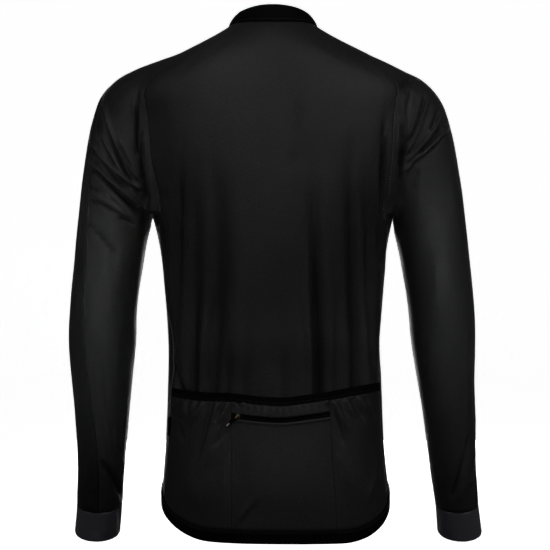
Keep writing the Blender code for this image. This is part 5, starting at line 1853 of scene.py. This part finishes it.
def rounded_block(size: Sequence[float], power: float, centre: Sequence[float], around: int = 28,
                  rows: int = 14) -> tuple[Grid, list[Grid]]:
    """Rounded box: a ball whose sines and cosines are raised to a small power, closed at its poles.

    Args:
        size: Its three sizes.
        power: 1 for a ball and towards 0 for a box.
        centre: Its middle.
        around: Points round it.
        rows: Rows of points from pole to pole, which lie along its third size.

    Returns:
        Its points, and its faces.
    """
    turn = full_turn(around)[None, :]
    lean = up_column(-0.497 * np.pi, 0.497 * np.pi, rows)
    reach = signed_power(np.cos(lean), power)
    x = reach * signed_power(np.cos(turn), power) * size[0] / 2
    y = reach * signed_power(np.sin(turn), power) * size[1] / 2
    z = signed_power(np.sin(lean), power) * size[2] / 2 + 0 * turn
    points = np.stack([x, y, z], axis=-1).reshape(-1, 3) + np.array(centre)
    return points, [quads(rows, around, True), end_caps(rows, around)]


def bent_bar(path: Grid, radius: float, closed: bool = False, around: int = 10) -> tuple[Grid, list[Grid]]:
    """Round bar along a path in the plane of its first and third axes or of its second and third.

    Args:
        path: Points of its middle line.
        radius: Its radius.
        closed: True where the path's end meets its start.
        around: Points round the bar.

    Returns:
        Its points, and its faces.
    """
    ahead = np.roll(path, -1, 0) - np.roll(path, 1, 0) if closed else np.gradient(path, axis=0)
    ahead = unit(ahead)
    plane = unit(np.cross(path[1] - path[0], path[len(path) // 3] - path[0]))
    aside = unit(np.cross(ahead, plane))
    turn = full_turn(around)[None, :, None]
    points = path[:, None] + radius * (np.cos(turn) * aside[:, None] + np.sin(turn) * plane)
    count = len(path)
    faces = quads(count + 1, around, True) % (count * around) if closed else quads(count, around, True)
    blocks = [faces] if closed else [faces, end_caps(count, around)]
    middle = path[(faces[:, 0] // around) % count]
    if faces_inwards(points, faces, points.reshape(-1, 3)[faces[:, 0]] - middle):
        blocks = [block[:, ::-1] for block in blocks]
    return points.reshape(-1, 3), blocks


@dataclass
class ZipParts:
    """Front zip's chain, and the slider and pull of both zips.

    A slider's own frame has x along the pull's hinge, y out of the cloth and z up the zip.
    """

    torso: Torso
    coil_pitch: float = 1.55
    neck_share: float = 0.92
    slider: tuple[float, float, float] = (8.0, 2.6, 11.0)
    bail_radius: float = 0.72
    bail_length: float = 7.0
    bail_rise: float = 3.0
    pin_half: float = 0.75
    pin_height: float = 0.9
    pull_gap: float = 0.4
    pull_width: float = 6.6
    front_pull: tuple[float, float] = (24.0, 4.6)
    pocket_pull: tuple[float, float] = (27.0, 4.4)
    front_slider_part: float = 0.80
    pocket_slider_x: float = -47.0
    pocket_pull_lean: float = 43.0
    pocket_scale: float = 0.78

    def chain_line(self, share: Grid) -> tuple[Grid, Grid]:
        """Middle line of the front zip and its normals: up the front, then up the collar.

        Args:
            share: Share of the way up the zip.

        Returns:
            The points and the normals.
        """
        level = np.clip(share / self.neck_share, 0.0, 1.0) * 2.0
        part = np.clip((share - self.neck_share) / (1 - self.neck_share), 0.0, 1.0)
        straight = np.full(share.shape, 180.0)
        low, high = self.torso.surface(straight, level), self.torso.collar_point(straight, part)
        low_out = self.torso.normals(straight, level)
        high_out = normals_of(self.torso.collar_point, straight, np.clip(part, 0.02, 0.98), 0.5, 0.02)
        on_collar = (share > self.neck_share)[..., None]
        return np.where(on_collar, high, low), np.where(on_collar, high_out, low_out)

    def shares(self, start: float, below: int, above: int, end: float = 1.0) -> Grid:
        """Shares of the way up the zip, so many of them below the neck seam and above it."""
        low = np.linspace(start, self.neck_share, below)
        return np.concatenate([low, np.linspace(self.neck_share, end, above)[1:]])

    def front_tape(self) -> None:
        """Tape of the front zip: a strip with a bed for the coil along its middle."""
        line, out = self.chain_line(self.shares(0.0, 260, 24))
        across = np.linspace(-1.0, 1.0, 11)[None, :, None] * CHAIN_HALF_WIDTH
        points = line[:, None] + across * np.array([1.0, 0.0, 0.0])
        normals = np.broadcast_to(out[:, None], points.shape)
        bed = -0.35 * np.exp(-((across / 1.9) ** 4))
        points = points + normals * bed
        piece = cloth_wall("front_zip_tape", points, normals, ZIP_CLOTH, wall=1.6, lift=0.2)
        dress(piece, "front_zip")

    def coil(self) -> None:
        """Teeth of the front zip: short rounded bars across it, turn by turn to the left and right."""
        line, out = self.chain_line(self.shares(0.004, 700, 70, 0.998))
        tooth = StitchRow(pitch=self.coil_pitch / 2, half_width=0.34, rise=0.5, across=3.1, stagger=0.75)
        teeth = Joined()
        teeth.row(line + out * 0.42, out, tooth)
        dress(teeth.finish("front_zip_coil", TEETH), "")

    def front_frame(self) -> tuple[Grid, Grid]:
        """Frame of the front slider, on the collar's zip.

        Returns:
            Its three axes, one a row, and its origin.
        """
        angle, part = np.array([180.0]), np.array([self.front_slider_part])
        origin = self.torso.collar_point(angle, part)[0]
        above, below = (self.torso.collar_point(angle, part + step)[0] for step in (0.05, -0.05))
        up = unit(above - below)
        out = unit(np.cross(up, np.array([-1.0, 0.0, 0.0])))
        out = out if out[1] > 0 else -out
        return np.array([np.cross(out, up), out, up]), origin + out * 0.7

    def pocket_frame(self, pockets: Pockets) -> tuple[Grid, Grid]:
        """Frame of the pocket slider. Its z points up and to the right, opposite to how its pull lies.

        Args:
            pockets: The pockets, whose top edge places it.

        Returns:
            Its three axes, one a row, and its origin.
        """
        x = np.array([self.pocket_slider_x])
        height = pockets.top(x) - BINDING - STRIP - ZIP_TAPE / 2
        origin = self.torso.over_back(x, height)[0]
        out = normals_of(self.torso.over_back, x, height, 1.0, 1.0)[0]
        level = unit(np.cross(out, np.array([0.0, 0.0, 1.0])))
        level = level if level[0] > 0 else -level
        rise = unit(np.cross(level, out))
        rise = rise if rise[2] > 0 else -rise
        lean = np.radians(self.pocket_pull_lean)
        up = level * np.cos(lean) + rise * np.sin(lean)
        frame = np.array([np.cross(out, up), out, up]) * self.pocket_scale
        return frame, origin + out * (POCKET_LIFT + SEAM_GAP + 0.2)

    def make_slider(self, name: str, node: str, frame: Grid, origin: Grid) -> None:
        """Slider: a rounded head, a narrower tail, and a bail bent over the pull's pin.

        Args:
            name: The piece's name.
            node: Node of the model that it stands for.
            frame: The slider's three axes, one a row.
            origin: Where its own origin comes to lie.
        """
        width, thick, length = self.slider
        joined = Joined()
        joined.add(*rounded_block((width, thick, length * 0.62), 0.42, (0.0, thick / 2, length * 0.19)))
        tail = (width * 0.72, thick * 0.94, length * 0.6)
        joined.add(*rounded_block(tail, 0.5, (0.0, thick / 2, -length * 0.2)))
        half, top = self.bail_length / 2 - self.bail_radius, thick + self.bail_rise
        turn = np.linspace(0.0, np.pi, 25)
        arch = np.stack([0 * turn, thick - 0.6 + (top - thick + 0.2) * signed_power(np.sin(turn), 0.45),
                         half * signed_power(np.cos(turn), 0.45)], axis=-1)
        bail = Joined()
        bail.add(*bent_bar(arch, self.bail_radius))
        dress(bail.finish(f"{name}_bail", BRASS, frame, origin), "")
        dress(joined.finish(name, ENAMEL, frame, origin), node)

    def make_pull(self, name: str, node: str, frame: Grid, origin: Grid, size: tuple[float, float],
                  body: str) -> None:
        """Pull: a ring of round bar under the bail, and a tab below it that narrows to its tip.

        Args:
            name: The piece's name.
            node: Node of the model that it stands for.
            frame: The slider's three axes, one a row.
            origin: Where its own origin comes to lie.
            size: The pull's length, and its width at the tip.
            body: Body that it moves with.
        """
        length, tip = size
        y = self.slider[1] + self.pull_gap + self.pin_half
        radius = 0.68
        half, head = self.pull_width / 2 - radius, self.pin_height
        foot = self.pin_height - self.bail_length + 0.4
        turn = full_turn(40)
        ring = np.stack([half * signed_power(np.cos(turn), 0.4), y + 0 * turn,
                         (head + foot) / 2 + (head - foot) / 2 * signed_power(np.sin(turn), 0.4)], axis=-1)
        joined = Joined()
        joined.add(*bent_bar(ring, radius, closed=True))
        end = self.pin_height - length
        rows = up_column(0.0, 1.0, 24)
        wide = self.pull_width / 2 + (tip / 2 - self.pull_width / 2) * smoothstep(rows, 0.6, 1.0)
        round_ends = (1 - np.abs(2 * rows - 1) ** 10) ** 0.5
        around = full_turn(24)[None, :]
        aside, out = signed_power(np.cos(around), 0.55), signed_power(np.sin(around), 0.55)
        points = np.stack([aside * wide * np.maximum(round_ends, 0.25),
                           y + out * 0.72 * np.maximum(round_ends, 0.3) + 0 * rows,
                           foot + 0.3 + (end - foot - 0.3) * rows + 0 * around], axis=-1)
        caps = np.stack([np.arange(24), np.arange(23 * 24, 24 * 24)[::-1]])
        joined.add(points.reshape(-1, 3), [quads(24, 24, True)[:, ::-1], caps])
        dress(joined.finish(name, PULLER, frame, origin), node, body=body)

    def make_tip(self, name: str, frame: Grid, origin: Grid, size: tuple[float, float], body: str) -> None:
        """Pale metal inset near the pull's tip.

        Args:
            name: The piece's name.
            frame: The slider's three axes, one a row.
            origin: Where its own origin comes to lie.
            size: The pull's length, and its width at the tip.
            body: Body that it moves with.
        """
        length, tip = size
        y = self.slider[1] + self.pull_gap + self.pin_half
        joined = Joined()
        joined.add(*rounded_block((tip - 1.8, 2.2, 7.5), 0.6, (0.0, y, self.pin_height - length + 5.2)))
        dress(joined.finish(name, PALE_METAL, frame, origin), "", body=body)

    def build(self, pockets: Pockets) -> None:
        """Both zips' parts.

        Args:
            pockets: The pockets, whose top edge places the pocket zip.
        """
        self.front_tape()
        self.coil()
        frame, origin = self.front_frame()
        self.make_slider("front_slider", "front_zip_slider", frame, origin)
        self.make_pull("front_puller", "front_zip_pull", frame, origin, self.front_pull, "front_pull")
        frame, origin = self.pocket_frame(pockets)
        self.make_slider("pocket_slider", "pocket_zip_slider", frame, origin)
        self.make_pull("pocket_puller", "pocket_zip_pull", frame, origin, self.pocket_pull, "pocket_pull")
        self.make_tip("pocket_puller_tip", frame, origin, self.pocket_pull, "pocket_pull")


@dataclass(frozen=True)
class SoftBox:
    """Rectangular studio light."""

    name: str
    place: tuple[float, float, float]
    size: tuple[float, float]
    power: float
    aim: tuple[float, float, float] = (0.0, 0.0, -0.35)
    spread: float = 180.0

    def build(self) -> None:
        """Add the light, turned towards its aim."""
        lamp = bpy.data.lights.new(self.name, "AREA")
        lamp.shape = "RECTANGLE"
        lamp.size, lamp.size_y = self.size
        lamp.energy = self.power
        lamp.spread = np.radians(self.spread)
        holder = bpy.data.objects.new(self.name, lamp)
        bpy.context.scene.collection.objects.link(holder)
        holder.location = self.place
        back = unit(np.array(self.place) - np.array(self.aim))
        side = unit(np.cross(np.array([0.0, 0.0, 1.0]), back))
        up = np.cross(back, side)
        turn = [[side[i], up[i], back[i]] for i in range(3)]
        holder.rotation_euler = Matrix(turn).to_euler()


@dataclass(frozen=True)
class Studio:
    """Camera at the photograph's angle, a pale curved ground, and soft light. Sizes here are in metres."""

    camera: tuple[float, float, float] = (0.00275, -3.2, -0.342)
    field_width: float = 0.75625
    sensor: float = 36.0
    floor_height: float = -0.80
    lights: tuple[SoftBox, ...] = (
        SoftBox("overhead", (0.0, -1.3, 1.3), (1.6, 1.0), 5.0, (0.0, 0.0, -0.2)),
        SoftBox("low_kicker", (0.0, -3.2, -1.4), (2.0, 1.0), 3.4),
        SoftBox("left_bank", (-2.2, -2.2, 0.2), (1.2, 2.0), 1.9),
        SoftBox("right_bank", (2.2, -2.2, 0.2), (1.2, 2.0), 2.4),
        SoftBox("left_side", (-2.6, -0.9, 0.1), (1.0, 2.0), 1.0),
        SoftBox("right_side", (2.6, -0.9, 0.1), (1.0, 2.0), 1.8),
        SoftBox("high_left", (-1.6, -1.6, 1.6), (1.2, 1.2), 5.6, (0.0, 0.0, -0.3)),
        SoftBox("high_right", (1.6, -1.6, 1.6), (1.2, 1.2), 10.4, (0.0, 0.0, -0.3)),
        SoftBox("left_arm", (-0.7, -2.8, -0.15), (0.14, 0.4), 0.11, (-0.238, 0.0, -0.37), 4.0),
        SoftBox("right_arm", (0.7, -2.8, -0.15), (0.14, 0.5), 0.105, (0.25, 0.0, -0.32), 5.0),
        SoftBox("back_middle", (0.1, -2.8, 0.3), (0.3, 0.3), 0.026, (0.005, -0.1, -0.235), 5.0),
        SoftBox("left_blade", (-0.3, -2.8, 0.7), (0.08, 0.08), 0.008, (-0.052, -0.05, -0.048), 3.0),
        SoftBox("right_blade", (0.3, -2.8, 0.7), (0.08, 0.08), 0.006, (0.09, -0.05, -0.077), 3.0),
        SoftBox("pockets_fill", (0.0, -2.9, -0.2), (0.3, 0.08), 0.008, (-0.01, -0.1, -0.575), 4.5),
        SoftBox("front_fill", (0.0, 3.2, -0.1), (2.4, 1.8), 60.0),
    )
    ambient: float = 0.05
    ground_glow: float = 0.93

    def build(self) -> None:
        """Camera, ground, lights and ambient light."""
        self.make_camera()
        self.make_ground()
        for light in self.lights:
            light.build()
        world = bpy.data.worlds.new("studio_air")
        world.use_nodes = True
        world.node_tree.nodes["Background"].inputs["Color"].default_value = (1.0, 1.0, 1.0, 1.0)
        world.node_tree.nodes["Background"].inputs["Strength"].default_value = self.ambient
        bpy.context.scene.world = world
        bpy.context.scene.view_settings.view_transform = "Standard"

    def make_camera(self) -> None:
        """Level camera that looks along +Y, whose field at the garment's depth is the photograph's width."""
        lens = bpy.data.cameras.new("camera")
        lens.sensor_width = self.sensor
        lens.lens = self.sensor * -self.camera[1] / self.field_width
        holder = bpy.data.objects.new("camera", lens)
        holder.location = self.camera
        holder.rotation_euler = (np.pi / 2, 0.0, 0.0)
        bpy.context.scene.collection.objects.link(holder)
        bpy.context.scene.camera = holder

    def make_ground(self) -> None:
        """Pale round floor that bends up at its rim: a disc, a quarter circle and an upright, about Z."""
        bend = np.linspace(0.0, np.pi / 2, 25)
        radius, flat, top, hub = 1.6, 7.0, 7.0, 1e-5
        reach = np.concatenate([[hub], flat + radius * np.sin(bend), [flat + radius]])
        height = self.floor_height + np.concatenate([[0.0], radius * (1 - np.cos(bend)), [top]])
        turn = up_column(0.0, 2 * np.pi, 97)
        points = np.stack([reach * np.cos(turn), reach * np.sin(turn), height + 0 * turn], axis=-1)
        pale = NodeGraph("pale_ground")
        shader = pale.add("BsdfPrincipled", {
            "Base Color": (0.92, 0.92, 0.92, 1.0), "Roughness": 0.9, "Specular IOR Level": 0.1,
            "Emission Color": (1.0, 1.0, 1.0, 1.0), "Emission Strength": self.ground_glow,
        })
        pale.tree.links.new(shader.outputs[0], pale.add("OutputMaterial").inputs["Surface"])
        mesh = bpy.data.meshes.new("ground")
        mesh.from_pydata(points.reshape(-1, 3).tolist(), [], quads(len(turn), len(reach), False).tolist())
        mesh.polygons.foreach_set("use_smooth", np.ones(len(mesh.polygons), bool))
        mesh.materials.append(pale.material)
        ground = bpy.data.objects.new("ground", mesh)
        bpy.context.scene.collection.objects.link(ground)
        ground.visible_diffuse = False
        ground.visible_glossy = False


def main() -> None:
    """Load the frame, dress every node, and set the studio."""
    logging.basicConfig(level=logging.INFO, format="%(name)s: %(message)s")
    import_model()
    torso, sewing, light_sewing = Torso(), Joined(), Joined()
    panels = Panels(torso, sewing, light_sewing)
    panels.back()
    for side in Side:
        panels.front(side)
        panels.side(side)
    panels.sew()
    for side in Side:
        Sleeve(torso, sewing, side).build()
    trims = Trims(torso, sewing)
    trims.hem_band()
    trims.collar()
    for side in Side:
        trims.piping(side)
    trims.side_tab()
    pockets = Pockets(torso, sewing)
    pockets.build()
    ZipParts(torso).build(pockets)
    dress(sewing.finish("stitches", THREAD), "")
    dress(light_sewing.finish("armhole_stitches", SEAM_THREAD), "")
    Studio().build()
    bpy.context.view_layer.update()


if __name__ == "__main__":
    main()
